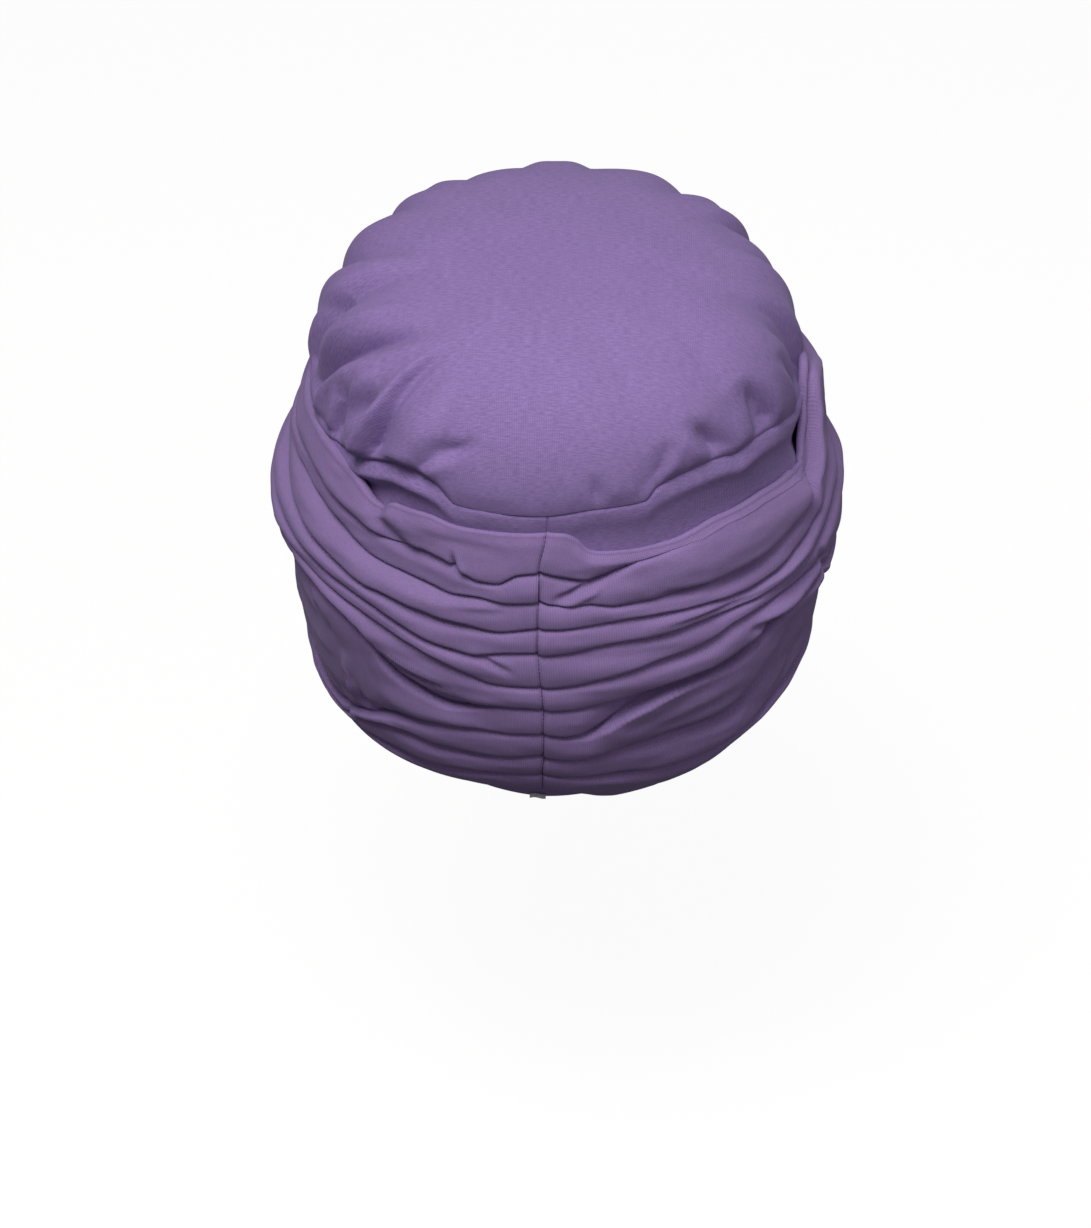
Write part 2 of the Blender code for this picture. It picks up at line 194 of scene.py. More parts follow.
# which fold laps over at a line: 1 the upper over the lower, -1 the lower over the upper
LAPS = {
    "left": np.array([
        [0, 0, 0, 0, 0, 0, 0, 0, 0],
        [0.6, 0.9, 0.9, 0.3, 0.3, 0.3, 0.3, 0.3, 0.5],
        [0.4, 0.7, 0.95, 0.7, 0.3, 0.3, 0.3, 0.3, 0.5],
        [0.4, 0.8, 0.9, 0.5, 0.3, 0.3, 0.3, 0.3, 0.5],
        [0.4, 0.6, 0.7, 0.5, 0.3, 0.3, 0.3, 0.3, 0.5],
        [0.3, 0.4, 0.3, 0.2, 0.1, 0.3, 0.3, 0.4, 0.5],
        [0.1, -0.3, -0.9, -1, -0.9, 0.2, 1, 1, 0.5],
        [0.4, 0.5, 0.5, 0.5, 0.4, 0.4, 0.4, 0.4, 0.5],
        [0.4, 0.5, 0.6, 0.6, 0.5, 0.4, 0.4, 0.4, 0.5],
        [0.4, 0.5, 0.6, 0.6, 0.5, 0.4, 0.4, 0.4, 0.5],
        [0, 0, 0, 0, 0, 0, 0, 0, 0],
    ]),
    "right": np.array([
        [0, 0, 0, 0, 0, 0, 0, 0, 0],
        [0.6, 0.3, -0.9, 0, 0, 0, 0, 0, 0.5],
        [0.5, 0.8, 0.6, 0.6, 0.9, 1, -0.3, -1, 0.5],
        [0.2, 0.3, 0.4, 0.6, 0.7, 0.7, 0.6, 0.5, 0.5],
        [0.2, 0.25, 0.35, 0.4, 0.6, 0.7, 0.7, 0.6, 0.5],
        [0.3, 0.35, 0.4, 0.8, 0.95, 0.9, 0.8, 0.6, 0.5],
        [0.2, 0.3, 0.6, 0.9, 0.9, 0.9, 0.8, 0.6, 0.5],
        [0.5, 0.2, -1, -1, -1, -0.9, -0.6, 0.3, 0.5],
        [0.4, 0.45, 0.5, 0.5, 0.2, -0.3, 0, 0.3, 0.5],
        [0.4, 0.5, 0.6, 0.6, 0.5, 0.5, 0.5, 0.4, 0.5],
        [0, 0, 0, 0, 0, 0, 0, 0, 0],
    ]),
}

# how deep each line goes: 1 reaches the band, 0 is only drawn on the crest
DEPTHS = {
    "left": np.array([
        [0, 0, 0, 0, 0, 0, 0, 0, 0],
        [0.25, 0.85, 0.7, 0.22, 0.25, 0.3, 0.35, 0.4, 0.8],
        [0.22, 0.45, 0.95, 0.55, 0.3, 0.3, 0.35, 0.35, 0.8],
        [0.22, 0.7, 0.85, 0.45, 0.35, 0.35, 0.4, 0.45, 0.8],
        [0.22, 0.45, 0.55, 0.5, 0.3, 0.25, 0.3, 0.4, 0.8],
        [0.22, 0.3, 0.45, 0.35, 0.12, 0.12, 0.25, 0.4, 0.8],
        [0.22, 0.4, 1, 1, 0.9, 0.7, 0.9, 1, 0.8],
        [0.24, 0.35, 0.4, 0.4, 0.4, 0.4, 0.45, 0.5, 0.8],
        [0.24, 0.4, 0.45, 0.5, 0.5, 0.5, 0.5, 0.5, 0.8],
        [0.3, 0.45, 0.5, 0.5, 0.5, 0.5, 0.5, 0.5, 0.8],
        [0.6, 0.6, 0.6, 0.6, 0.6, 0.6, 0.6, 0.6, 0.8],
    ]),
    "right": np.array([
        [0, 0, 0, 0, 0, 0, 0, 0, 0],
        [0.25, 0.75, 0.6, 0, 0, 0, 0.9, 0.9, 0.8],
        [0.3, 0.5, 0.25, 0.4, 0.8, 1, 1, 1, 0.8],
        [0.2, 0.25, 0.3, 0.45, 0.7, 0.7, 0.6, 0.5, 0.8],
        [0.2, 0.25, 0.3, 0.35, 0.5, 0.6, 0.6, 0.6, 0.8],
        [0.22, 0.3, 0.4, 0.8, 1, 0.9, 0.7, 0.6, 0.8],
        [0.22, 0.3, 0.5, 0.9, 1, 1, 0.9, 0.7, 0.8],
        [0.26, 0.6, 1, 1, 1, 1, 0.9, 0.8, 0.8],
        [0.26, 0.4, 0.5, 0.6, 0.5, 0.35, 0.5, 0.6, 0.8],
        [0.3, 0.45, 0.55, 0.55, 0.5, 0.5, 0.5, 0.5, 0.8],
        [0.6, 0.6, 0.6, 0.6, 0.6, 0.6, 0.6, 0.6, 0.8],
    ]),
}

# how far each fold stands out as a share of the full lift, from the topmost down
BODIES = {
    "left": np.array([
        [1, 1, 1, 1, 1.05, 1.1, 1.1, 1.1, 1],
        [0.95, 0.9, 0.85, 0.62, 0.75, 0.9, 1, 1, 1],
        [0.92, 0.92, 0.95, 0.85, 0.9, 1, 1, 1, 1],
        [0.95, 0.95, 0.98, 0.92, 0.95, 1, 1, 1, 1],
        [0.95, 0.9, 0.9, 0.85, 0.9, 0.95, 1, 1, 1],
        [0.95, 0.92, 0.85, 0.85, 0.92, 0.95, 1, 1, 1],
        [0.98, 1, 1.08, 1.1, 1.02, 1, 1, 1, 1],
        [0.95, 0.95, 0.95, 0.95, 1, 1, 1, 1, 1],
        [0.97, 0.97, 0.97, 0.97, 1, 1, 1, 1, 1],
        [1, 1, 1, 1, 1, 1, 1, 1, 1],
    ]),
    "right": np.array([
        [1, 0.95, 0.45, 0.9, 1, 1, 0.1, 0, 1],
        [0.8, 0.85, 1.05, 1.08, 1.1, 1.08, 0.1, 0, 1],
        [0.9, 0.9, 0.88, 0.85, 0.8, 0.85, 1.05, 1.15, 1],
        [0.95, 0.95, 0.93, 0.9, 0.9, 1, 1, 1, 1],
        [0.95, 0.95, 0.95, 0.92, 0.92, 0.95, 1, 1, 1],
        [0.95, 0.95, 1, 1.12, 1.12, 1.1, 1, 1, 1],
        [0.92, 0.8, 0.2, 0, 0, 0.25, 0.7, 0.95, 1],
        [0.95, 0.95, 1.08, 1.14, 1.14, 1.08, 1, 1, 1],
        [0.95, 0.95, 0.95, 0.98, 1, 1, 1, 1, 1],
        [1, 1, 1, 1, 1, 1, 1, 1, 1],
    ]),
}

# lower edge of the hem at the coarse stations, the same on both sides
HEM_STATIONS = (0, 15, 30, 45, 60, 75, 100, 140, 180)
HEM_LINE = (-75.8, -74.2, -66.5, -57.5, -49.5, -45.5, -39.0, -14.0, 2.5)
HEM_HEIGHT = 12.0
HEM_WALL = 2.4

# rows of the hem in mm above its edge: down its face, round the edge in degrees, and up inside
HEM_STITCH_UP = 9.8
HEM_STITCH_SUNK = 0.45
HEM_OUTSIDE = (HEM_HEIGHT, 11.0, 10.2, HEM_STITCH_UP, 9.4, 8.6, 6.0, 3.5)
HEM_TURNS = (25, 50, 75, 100, 125, 150)
HEM_INSIDE = (3.5, 6.0, 8.6, 10.2, HEM_HEIGHT)
HEM_UNEVEN = 0.0018

# sideways wander of the centre back seam
SEAM_WANDER = np.array([
    # height, sideways
    [-75, 0], [-52, 0], [-35, 0.9], [-13, 0.9], [0, 0], [14, -0.9], [48, -0.9], [60, 1.2], [66, 1.8],
], float)

# short creases pressed into the drape: three points each of angle and height, then the width, the depth
# and the lip beside it, above (+) or below (-)
TUCKS = {
    "left": np.array([
        [16, 44.5, 18.5, 46.5, 19.5, 52, 1.2, 2.88, 0.3],
        [42, 55, 35, 49, 27, 46.5, 3, 2.52, 0.2],
        [14.5, 11, 10, 10, 5, 5.5, 1.2, 1.7, 0.3],
        [35, -4.5, 29, -7.5, 20, -8.5, 1.6, 3.06, 0.5],
        [40, 6, 41, 1, 36.5, -3, 2.2, 1, 0.2],
        [31, -12, 25, -14, 17, -14.5, 2, 2.16, 0.3],
        [62, -16, 52, -19, 42, -25, 1.3, -1.44, 0],
        [49.5, -18, 47.5, -32, 50, -47, 1.5, -1.62, 0],
        [46, -30, 44, -36, 47, -43, 2.2, 1.62, 0.2],
        [58, -38, 54, -50, 50, -60, 2.4, 1.8, 0.3],
        [62, 44, 54, 41, 46, 39.5, 2, 1.44, 0.3],
        [28, 56, 18, 56.5, 8, 57.5, 2.4, 0.9, 0.2],
        [20, 30, 12, 30, 6, 31, 1.4, 0.72, 0.3],
        [64, 14, 58, -4, 47, -14, 1.6, 1.26, 0.4],
    ], float),
    "right": np.array([
        [3, 37.6, 8, 40.5, 12, 44.5, 1.3, 2.7, -0.5],
        [24, 36.5, 30, 34, 37, 33.5, 1.9, 2.16, 0.3],
        [34, 30.5, 42, 29, 53, 31.5, 1.3, 2.7, 0.4],
        [43, 8, 51, 5, 60, 5, 1.8, 2.7, 0.4],
        [13, -26, 26, -11.5, 50, -8.5, 1.4, -1.8, 0],
        [16, -29, 30, -17, 48, -14, 2.4, 1.6, 0.2],
        [66, 22, 72, 6, 74, -10, 1.8, 1.44, 0.4],
        [40, -38.5, 44, -38.5, 48, -36, 1.8, 2.52, 0.3],
        [20, -29, 34, -26, 47, -22, 3.4, 1.62, 0.2],
        [66, 1, 58, -17, 46, -44, 1.4, -1.44, 0],
        [70, -22, 64, -32, 56, -44, 2.2, 1.62, 0.3],
        [24, 22, 36, 22, 46, 21, 1.3, 1.26, 0.4],
        [72, 58, 73, 46, 70, 34, 1.4, -0.9, 0],
    ], float),
}

# gathers that dent the crown tip: each runs inwards from the seam
GATHERS = np.array([
    # angle at the seam, angle at its inner end, inner end as a share of the radius, width, depth
    [-166, -166, 0.58, 6, 4.6],
    [-148, -147, 0.58, 5, 5],
    [-127, -125, 0.58, 5, 5.4],
    [-105, -90, 0.5, 5, 7],
    [-86, -76, 0.45, 5, 7],
    [-74, -41, 0.6, 4.2, 10],
    [-59, -55, 0.86, 3.2, 6.5],
    [-51, -44, 0.82, 3, 6.5],
    [-43, -31, 0.66, 4, 8.5],
    [-29, -13, 0.86, 3, 2.8],
    [12, 11, 0.955, 1.4, 1.4],
    [26, 29, 0.93, 3.4, 3],
    [42, 35, 0.9, 4.4, 5],
    [60, 53, 0.88, 5, 5.5],
    [79, 70, 0.9, 4, 3.6],
    [90, 76, 0.66, 5, 5.4],
    [108, 106, 0.62, 4.4, 5.4],
    [124, 119, 0.58, 4.4, 6.2],
    [142, 141, 0.58, 5, 6],
    [172, 172, 0.6, 6, 5],
], float)

# form of a gather: its steeper side, width at its inner end and loss of width, and the ridges beside it
GATHER_STEEP = 0.45
GATHER_INNER_WIDTH = 1.25
GATHER_NARROWING = 0.55
GATHER_RAMP_POWER = 1.5
GATHER_VALLEY_POWER = 1.35
GATHER_RIDGE_AT = 1.7
GATHER_RIDGE = 0.22

# puckers along the tip seam, in shares of the radius, and their depth in mm
PUCKER_START = 0.94
PUCKER_RISE = 0.05
PUCKER_FALL = 0.012
PUCKER_DEPTH = 0.4

# form of a short crease, in widths of it: how far it is felt, its tapered ends, and the lip beside it
TUCK_REACH = 4
TUCK_STEPS = 29
TUCK_END = 0.02
TUCK_TAPER_POWER = 0.7
TUCK_VALLEY_POWER = 1.7
TUCK_LIP_AT = 1.8
TUCK_LIP_WIDTH = 1.1
TUCK_PLAIN_LIP = 0.1

# soft creases of the crown tip: three points each across and along, then width, depth and lip as above
TIP_CREASES = np.array([
    [-87.8, -21.4, -77, -26.4, -50.7, -29.6, 2.2, -1.6, 0],
    [-84.2, -34.1, -67.8, -43, -45.7, -46.5, 4.2, 2.8, 0],
    [-77.3, -47, -76.4, -44.7, -71.8, -47.3, 2, 1.8, 0.2],
    [-73.2, -52.1, -67, -51.3, -56.9, -52.2, 2.2, -1.3, 0],
    [-74.6, -55.1, -67.9, -58, -57.9, -61, 2.6, 2.2, 0.3],
    [-58.5, -68.5, -53.1, -64.4, -34.6, -56.1, 1.8, 2.2, 0.5],
    [-55.6, -69.8, -45.4, -65.9, -31.2, -59.4, 2, -1, 0],
    [-86.1, -31.3, -80.5, -47, -70.8, -60.4, 4.5, 3, 0],
    [-77.2, -52.8, -71.8, -59.1, -62.9, -64, 2.6, -1.6, 0],
    [-70.5, -62.4, -55.5, -74.9, -40.5, -83.8, 3.6, 2.6, 0.2],
    [-40.1, -83, -32.4, -84.5, -18.8, -86, 1.6, 1.2, 0.3],
    [-90.4, 12.3, -77.7, -20.4, -73.8, -10.9, 3, 2.2, 0],
    [75.3, -18.3, 83.4, -15.5, 90.1, -3.3, 2.4, 1.6, 0.2],
    [69.2, -53, 76.5, -50.4, 73.5, -58.4, 3, 2, 0.2],
    [51.4, -74.6, 56.2, -73.1, 60.9, -71.4, 2.4, 1.6, 0.3],
], float)

# how far in mm above the seam these creases fade in
TIP_CREASE_RISE = 4

# how far in mm the tip bulges out over its seam
OVERHANG = np.array([
    # angle, bulge
    [-180, 0], [-75, 0.5], [-64, 2], [-52, 4.2], [-38, 5.8], [-28, 5], [-22, 1.2], [-20, 0.6], [22, 0.6],
    [27, 1.8], [38, 2], [50, 2], [60, 1.6], [75, 0.4], [180, 0],
], float)

# how far in mm the seam itself is drawn inwards
SEAM_PULL = np.array([
    # angle, pull
    [-180, 0], [-68, 0], [-58, 1.6], [-45, 2.4], [-30, 2.2], [-23, 0.6], [-19, 0], [24, 0], [28, 0.8],
    [45, 0.8], [60, 0.4], [70, 0], [180, 0],
], float)

# how far in mm the band bulges out a little below the seam, and how far it sinks in lower down
BAND_BULGE = np.array([
    # angle, bulge
    [-180, 0], [-62, 0], [-50, 2.2], [-40, 3], [-28, 2.6], [-22, 0.8], [-8, 0.4], [20, 0.3], [28, 0.8],
    [38, 1.4], [48, 1.6], [60, 1], [75, 0], [180, 0],
], float)
BAND_SINK = np.array([
    # angle, sink
    [-180, 0], [-86, 0], [-78, 2.5], [-60, 3.5], [-44, 3.5], [-37, 2], [-30, 0.5], [-20, 0], [56, 0],
    [70, 0.6], [77, 4], [87, 4], [94, 0], [180, 0],
], float)

# drape sheets: columns of one half, rows of one fold as shares of its height, laps and seats
DRAPE_COLUMNS = 470
FOLD_T = np.array([
    0, 0.03, 0.06, 0.1, 0.15, 0.21, 0.28, 0.36, 0.44, 0.52, 0.6, 0.68, 0.75, 0.81, 0.86, 0.9, 0.935, 0.965,
])
LEAST_FOLD_HEIGHT = 1.5
FULL_FOLD_HEIGHT = 9.0
LEAST_DEPTH = 0.25
LAP_SHARE = 0.20
LAP_MOST = 2.4
CLOTH_SEAT = 1.2
LEAST_SEAT = 0.6
UNDER_SINK = 4.5
TOP_SPREAD = (0.12, 0.28, 0.50)
LOW_SPREAD = (0.50, 0.32, 0.22)
CREASE_WIDTH = 1.2
CENTRE_NARROW = 0.5
CENTRE_REACH = 26.0
CREASE_SHARE = 0.35
FOLD_ROUND = 0.14
FOLD_LEAN = 0.24
DEPTH_GAIN = 0.35
LOW_ROLL = 0.8
SEAM_DIP = 0.9
SEAM_DIP_WIDTH = 0.9
ARC_PER_DEGREE = 1.83
CLOTH_TURN = 360 * ARC_PER_DEGREE
CUSP_POWER = 1.6
LAP_PEAK = 0.7
LAP_OVER = 14
LAP_AT_SEAM = 0.35
CREST = 1.02
GAIN_FROM = 8
GAIN_OVER = 12
LEAST_ROOM = 1.6
WAVE_START = 10
WANDER_REACH = 12
HALVES_APART = 0.04
SEAM_STEADY = 6
COVER_MARGIN = 2
COVER_TOP_EASE = 7
COVER_LOW_EASE = 8

# turns in degrees round the roll of an edge, and how far the cloth then runs on inside
ROLL_TURNS = (20, 45, 70, 95, 120, 150, 180)
ROLL_FALLS = (2.5, 5.5)

# waves: of the fold lines as depth, step and shift from line to line, of the fold bodies, and of the
# surface as depth, step across and step along
LINE_WANDER = ((0.35, 9, 3.7), (0.2, 3.5, 5.3))
SWELL_SHARE = 0.10
SWELL_STEP = 14
SWELL_APART = 2.3
DRAPE_WAVES = ((0.75, 30, 6.5), (0.22, 11, 2.4))

# seeds of the same
LINE_SEED = {"left": 40, "right": 60}
SWELL_SEED = {"left": 31, "right": 32}
WAVE_SEED = {"left": 70, "right": 80}

# side band and hem
BAND_COLUMNS = 480
BAND_RINGS = 60
BACK_SEAM_ANGLE = 1.2
BACK_SEAM_SPREAD = 1.3
BAND_TURN_IN = ((3.2, 3.0), (2.2, 1.4), (1.3, 0.4))
BAND_PUCKER = (0.5, 3.3, 9, 15)
BAND_PUCKER_FADE = 7
BAND_WAVE = (0.35, 9, 14, 16)
TIP_SEAM_WIDTH = 0.8
BACK_SEAM_DIP = 0.7
BACK_SEAM_WIDTH = 0.45
BULGE_BELOW = 5.5
BULGE_WIDTH = 3.2
SINK_BELOW = 13
SINK_WIDTH = 7
HEM_COLUMNS = 360

# stitches: rings of one bead as place along it and size, then steps, and length and width, in mm
STITCH_RINGS = ((-0.5, 0.35), (-0.35, 0.8), (0.0, 1.0), (0.35, 0.8), (0.5, 0.35))
STITCH_SIDES = 6
BACK_FACE_Y = -80
BACK_STITCH_STEP = 1.7
BACK_STITCH = (0.8, 0.42)
BACK_STITCH_RAISE = 0.12
BACK_OUT = (0.0, -1.0, 0.25)
STITCH_AHEAD = 0.3
HEM_STITCH_SINK = 0.3
HEM_STITCH_STEP = 1.35
HEM_STITCH = (1.8, 0.4)

# woven tab: how far out and up from the bottom of the hem its cloth runs
TAB_PROFILE = (
    (-1.6, 1.8), (-1.5, 0.4), (-0.9, -0.5), (0, -0.6), (0.5, 0.2), (0.7, 1.6), (1.1, 2.8), (1.7, 3.2), (2.4, 2.9),
    (3.1, 2.2),
)
TAB_COLUMNS = 25
TAB_BOW = 0.2
TAB_BOW_LENGTH = 1.1

# cloth and thread colours, linear; the drape pair is the crown's cloth made darker and redder, painted shade of the
# drape's steep faces
CROWN_DARK = (0.185, 0.125, 0.300)
CROWN_LIGHT = (0.305, 0.205, 0.480)
DRAPE_SHADED_DARK = (0.175, 0.115, 0.268)
DRAPE_SHADED_LIGHT = (0.295, 0.200, 0.440)
TAB_COLOUR = (0.74, 0.73, 0.72)
THREAD_COLOUR = (0.075, 0.05, 0.12)
THREAD_GRAIN = 2600

# knit: courses, and noise stretched into short dashes along the courses
RIBS_PER_METRE = 1150
COURSES_PER_METRE = 1300
KNIT_RELIEF = 0.00022
DASH_STRETCH = (330, 1900, 330)
JERSEY_FINISH = {
    "Roughness": 0.86, "Specular IOR Level": 0.25, "Sheen Weight": 0.12, "Sheen Roughness": 0.45,
    "Sheen Tint": (0.74, 0.70, 1.0, 1.0),
}

# studio
SURROUND = 0.26
SURROUND_COLOUR = (1.0, 0.965, 0.975, 1)
FLOOR_Z = -0.30
FLOOR_HALF = 6.0
FLOOR_BOUNCE = 0.12
FLOOR_FINISH = {
    "Base Color": (0.10, 0.10, 0.10, 1), "Roughness": 0.9, "Specular IOR Level": 0.0,
    "Emission Color": (1, 1, 1, 1), "Emission Strength": 0.93,
}
LIGHT_AIM = (0, 0, 0.02)
LIGHTS = (
    # name, place, size, power, colour
    ("overhead light", (-0.17, -0.58, 1.28), (0.7, 0.6), 15.6, (1.0, 0.985, 0.97)),
    ("side light", (0.60, -0.60, 0.80), (0.9, 0.7), 1.6, (1.0, 0.985, 0.98)),
)

# camera: behind and above, at the height and side of the photograph
CAMERA_ELEVATION = math.radians(38)
CAMERA_AZIMUTH = math.radians(3)
CAMERA_DISTANCE = 1.3
METRES_PER_PIXEL = 0.000385
IMAGE_HEIGHT = 1228
AIM = Vector((0.0, 0.005, 0.022))
AIM_SIDE = -0.004
AIM_UP = -0.059
SENSOR = 36.0


def smooth(xs, ys, x):
    """Values at x on a smooth curve through ys that never overshoots them."""
    xs = np.asarray(xs, float)
    ys = np.asarray(ys, float)
    steps = np.diff(xs)
    slopes = np.diff(ys) / steps
    tangents = np.zeros_like(ys)
    same_way = slopes[1:] * slopes[:-1] > 0
    weight_a = 2 * steps[1:] + steps[:-1]
    weight_b = steps[1:] + 2 * steps[:-1]
    safe_a = np.where(same_way, slopes[:-1], 1.0)
    safe_b = np.where(same_way, slopes[1:], 1.0)
    mean = (weight_a + weight_b) / (weight_a / safe_a + weight_b / safe_b)
    tangents[1:-1] = np.where(same_way, mean, 0.0)
    x = np.clip(x, xs[0], xs[-1])
    i = np.clip(np.searchsorted(xs, x, side="right") - 1, 0, len(xs) - 2)
    t = (x - xs[i]) / steps[i]
    rise = ys[i] * (2 * t ** 3 - 3 * t ** 2 + 1) + ys[i + 1] * (3 * t ** 2 - 2 * t ** 3)
    bend = tangents[i] * (t ** 3 - 2 * t ** 2 + t) + tangents[i + 1] * (t ** 3 - t ** 2)
    return rise + steps[i] * bend


def ease(x):
    """0 to 1 with a soft start and end."""
    x = np.clip(x, 0, 1)
    return x * x * (3 - 2 * x)


def ripple(x, y, seed):
    """Soft uneven waves between about -1 and 1, one step of x or y to a wave."""
    size = RIPPLE_CELLS
    field = np.random.RandomState(seed).uniform(-1, 1, (size, size))
    column = np.floor(x).astype(int)
    row = np.floor(y).astype(int)
    across = ease(x - column)
    along = ease(y - row)
    near = field[column % size, row % size] * (1 - across) + field[(column + 1) % size, row % size] * across
    far = field[column % size, (row + 1) % size] * (1 - across)
    far = far + field[(column + 1) % size, (row + 1) % size] * across
    return near * (1 - along) + far * along


def bell(x, width, middle=0.0):
    """1 in the middle, falling softly to 0 on both sides."""
    return np.exp(-((x - middle) / width) ** 2)


def notch(x, width):
    """1 at 0, falling on both sides as beside a pulled seam."""
    return np.exp(-np.abs(x / width) ** 1.5)


def uneven(x, y, waves):
    """Sum of ripples, each given as depth, step across, step along and seed."""
    return sum(depth * ripple(x / across, y / along, seed) for depth, across, along, seed in waves)


def level_outward(points):
    """Level directions of length one, away from the middle of the head."""
    level = points * [1, 1, 0]
    return level / np.maximum(np.linalg.norm(level, axis=-1, keepdims=True), 1e-6)


def spans(points):
    """Distances from each point, or row of points, to the next."""
    return np.linalg.norm(np.diff(points, axis=0), axis=-1)


def plan_reach(plan, angle, height):
    """Sideways and lengthwise reach of a plan table at an angle in degrees and a height."""
    rows = plan[np.argsort(plan[:, 0])]
    left, right, back, front = (smooth(rows[:, 0], rows[:, k], height) for k in (1, 2, 3, 4))
    side = np.where(angle < 0, left, right)
    length = np.where(np.abs(angle) < 90, back, front)
    return side, length


def place(angle, side, length, height):
    """Point in mm on an oval of the given reaches."""
    turn = np.radians(angle)
    return np.stack([side * np.sin(turn), -length * np.cos(turn), height + 0 * turn], axis=-1)


def on_band(angle, height, off=0.0):
    """Point at a distance outside the side band's face."""
    side, length = plan_reach(BAND_PLAN, angle, height)
    return place(angle, side + off, length + off, height)


def table_value(table, angle):
    """Second column of a table at the angles of its first."""
    return np.interp(angle, table[:, 0], table[:, 1])


def seam_height(angle):
    """Height of the tip seam at an angle."""
    return smooth(SEAM_LINE[:, 0], SEAM_LINE[:, 1], angle)


def hem_edge(angle):
    """Height of the hem's lower edge at an angle."""
    return smooth(HEM_STATIONS, HEM_LINE, np.abs(angle))


def add_piece(name, mesh, material):
    """Puts a finished mesh into the scene; every piece rides on the one body."""
    mesh.shade_smooth()
    mesh.materials.append(material)
    piece = bpy.data.objects.new(name, mesh)
    bpy.context.scene.collection.objects.link(piece)
    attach(piece, "root")
    return piece


def grid_object(name, points, uv, closed, material, node, uv_turn=0.0):
    """Named object from a grid of points in mm; uv_turn is the cloth width of one full turn."""
    rows, columns = points.shape[:2]
    last = columns if closed else columns - 1
    i, j = np.meshgrid(np.arange(rows - 1), np.arange(last), indexing="ij")
    k = (j + 1) % columns
    faces = np.stack([i * columns + j, (i + 1) * columns + j, (i + 1) * columns + k, i * columns + k], axis=-1)
    faces = faces.reshape(-1, 4)
    mesh = bpy.data.meshes.new(name)
    mesh.vertices.add(rows * columns)
    mesh.vertices.foreach_set("co", (points * MM).astype(np.float32).ravel())
    mesh.loops.add(faces.size)
    mesh.loops.foreach_set("vertex_index", faces.astype(np.int32).ravel())
    mesh.polygons.add(len(faces))
    mesh.polygons.foreach_set("loop_start", np.arange(0, faces.size, 4, dtype=np.int32))
    mesh.polygons.foreach_set("loop_total", np.full(len(faces), 4, np.int32))
    layer = mesh.uv_layers.new(name="Cloth")
    corner_uv = uv.reshape(-1, 2)[faces].copy()
    if closed:
        wrapped = (k == 0).reshape(-1)
        corner_uv[wrapped, 2:, 0] += uv_turn
    layer.uv.foreach_set("vector", (corner_uv * MM).astype(np.float32).ravel())
    mesh.update(calc_edges=True)
    mesh.validate()
    piece = add_piece(name, mesh, material)
    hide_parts(node)
    return piece


def gather_dent(angle, share, above_seam):
    """Depth in mm of the gathers of the crown tip: pleats with one steep side that end at the seam."""
    dent = np.zeros_like(angle * share)
    hold = SEAM_HOLD + (1 - SEAM_HOLD) * ease(above_seam / GATHER_RISE)
    for k, (seam_angle, inner_angle, inner, width, depth) in enumerate(GATHERS):
        along = np.clip((share - inner) / (1 - inner), 0, 1)
        middle = inner_angle + (seam_angle - inner_angle) * along
        off = (angle - middle + 180) % 360 - 180
        steep = GATHER_STEEP if k % 2 else -GATHER_STEEP
        off = off * (1 + steep * np.sign(off))
        narrow = width * (GATHER_INNER_WIDTH - GATHER_NARROWING * along)
        ramp = np.sin(np.pi / 2 * along) ** GATHER_RAMP_POWER
        valley = np.exp(-np.abs(off / narrow) ** GATHER_VALLEY_POWER)
        ridge = bell(np.abs(off), narrow, GATHER_RIDGE_AT * narrow)
        dent += depth * ramp * hold * (valley - GATHER_RIDGE * ridge)
    return dent


def puckers(angle, share):
    """Small gathers along the tip seam."""
    near = ease((share - PUCKER_START) / PUCKER_RISE) * ease((1 - share) / PUCKER_FALL)
    wave = ripple(angle / 4.5, share * 4, 11) + 0.6 * ripple(angle / 2.3, share * 6, 12)
    return PUCKER_DEPTH * near * wave


def crease_depth(creases, scale, x, z):
    """Depth in mm of short creases at each point; scale turns the first numbers of their points to mm."""
    depth = np.zeros_like(x + z)
    for x0, z0, x1, z1, x2, z2, width, deep, lip in creases:
        x0, x1, x2 = x0 * scale, x1 * scale, x2 * scale
        reach = TUCK_REACH * width
        near = (x > min(x0, x1, x2) - reach) & (x < max(x0, x1, x2) + reach)
        near &= (z > min(z0, z1, z2) - reach) & (z < max(z0, z1, z2) + reach)
        near_x = x[near]
        near_z = z[near]
        best = np.full(near_x.shape, np.inf)
        at = np.zeros(near_x.shape)
        sign = np.ones(near_x.shape)
        for s in np.linspace(0, 1, TUCK_STEPS):
            line_x = (1 - s) ** 2 * x0 + 2 * s * (1 - s) * x1 + s * s * x2
            line_z = (1 - s) ** 2 * z0 + 2 * s * (1 - s) * z1 + s * s * z2
            far = np.hypot(near_x - line_x, near_z - line_z)
            closer = far < best
            best = np.where(closer, far, best)
            at = np.where(closer, s, at)
            sign = np.where(closer, np.sign(near_z - line_z), sign)
        taper = np.sin(np.pi * np.clip(at, TUCK_END, 1 - TUCK_END)) ** TUCK_TAPER_POWER
        valley = np.exp(-(best / width) ** TUCK_VALLEY_POWER)
        lipped = np.where(sign * lip > 0, abs(lip), TUCK_PLAIN_LIP)
        ridge = bell(best, TUCK_LIP_WIDTH * width, TUCK_LIP_AT * width) * lipped
        depth[near] += deep * taper * (valley - ridge)
    return depth


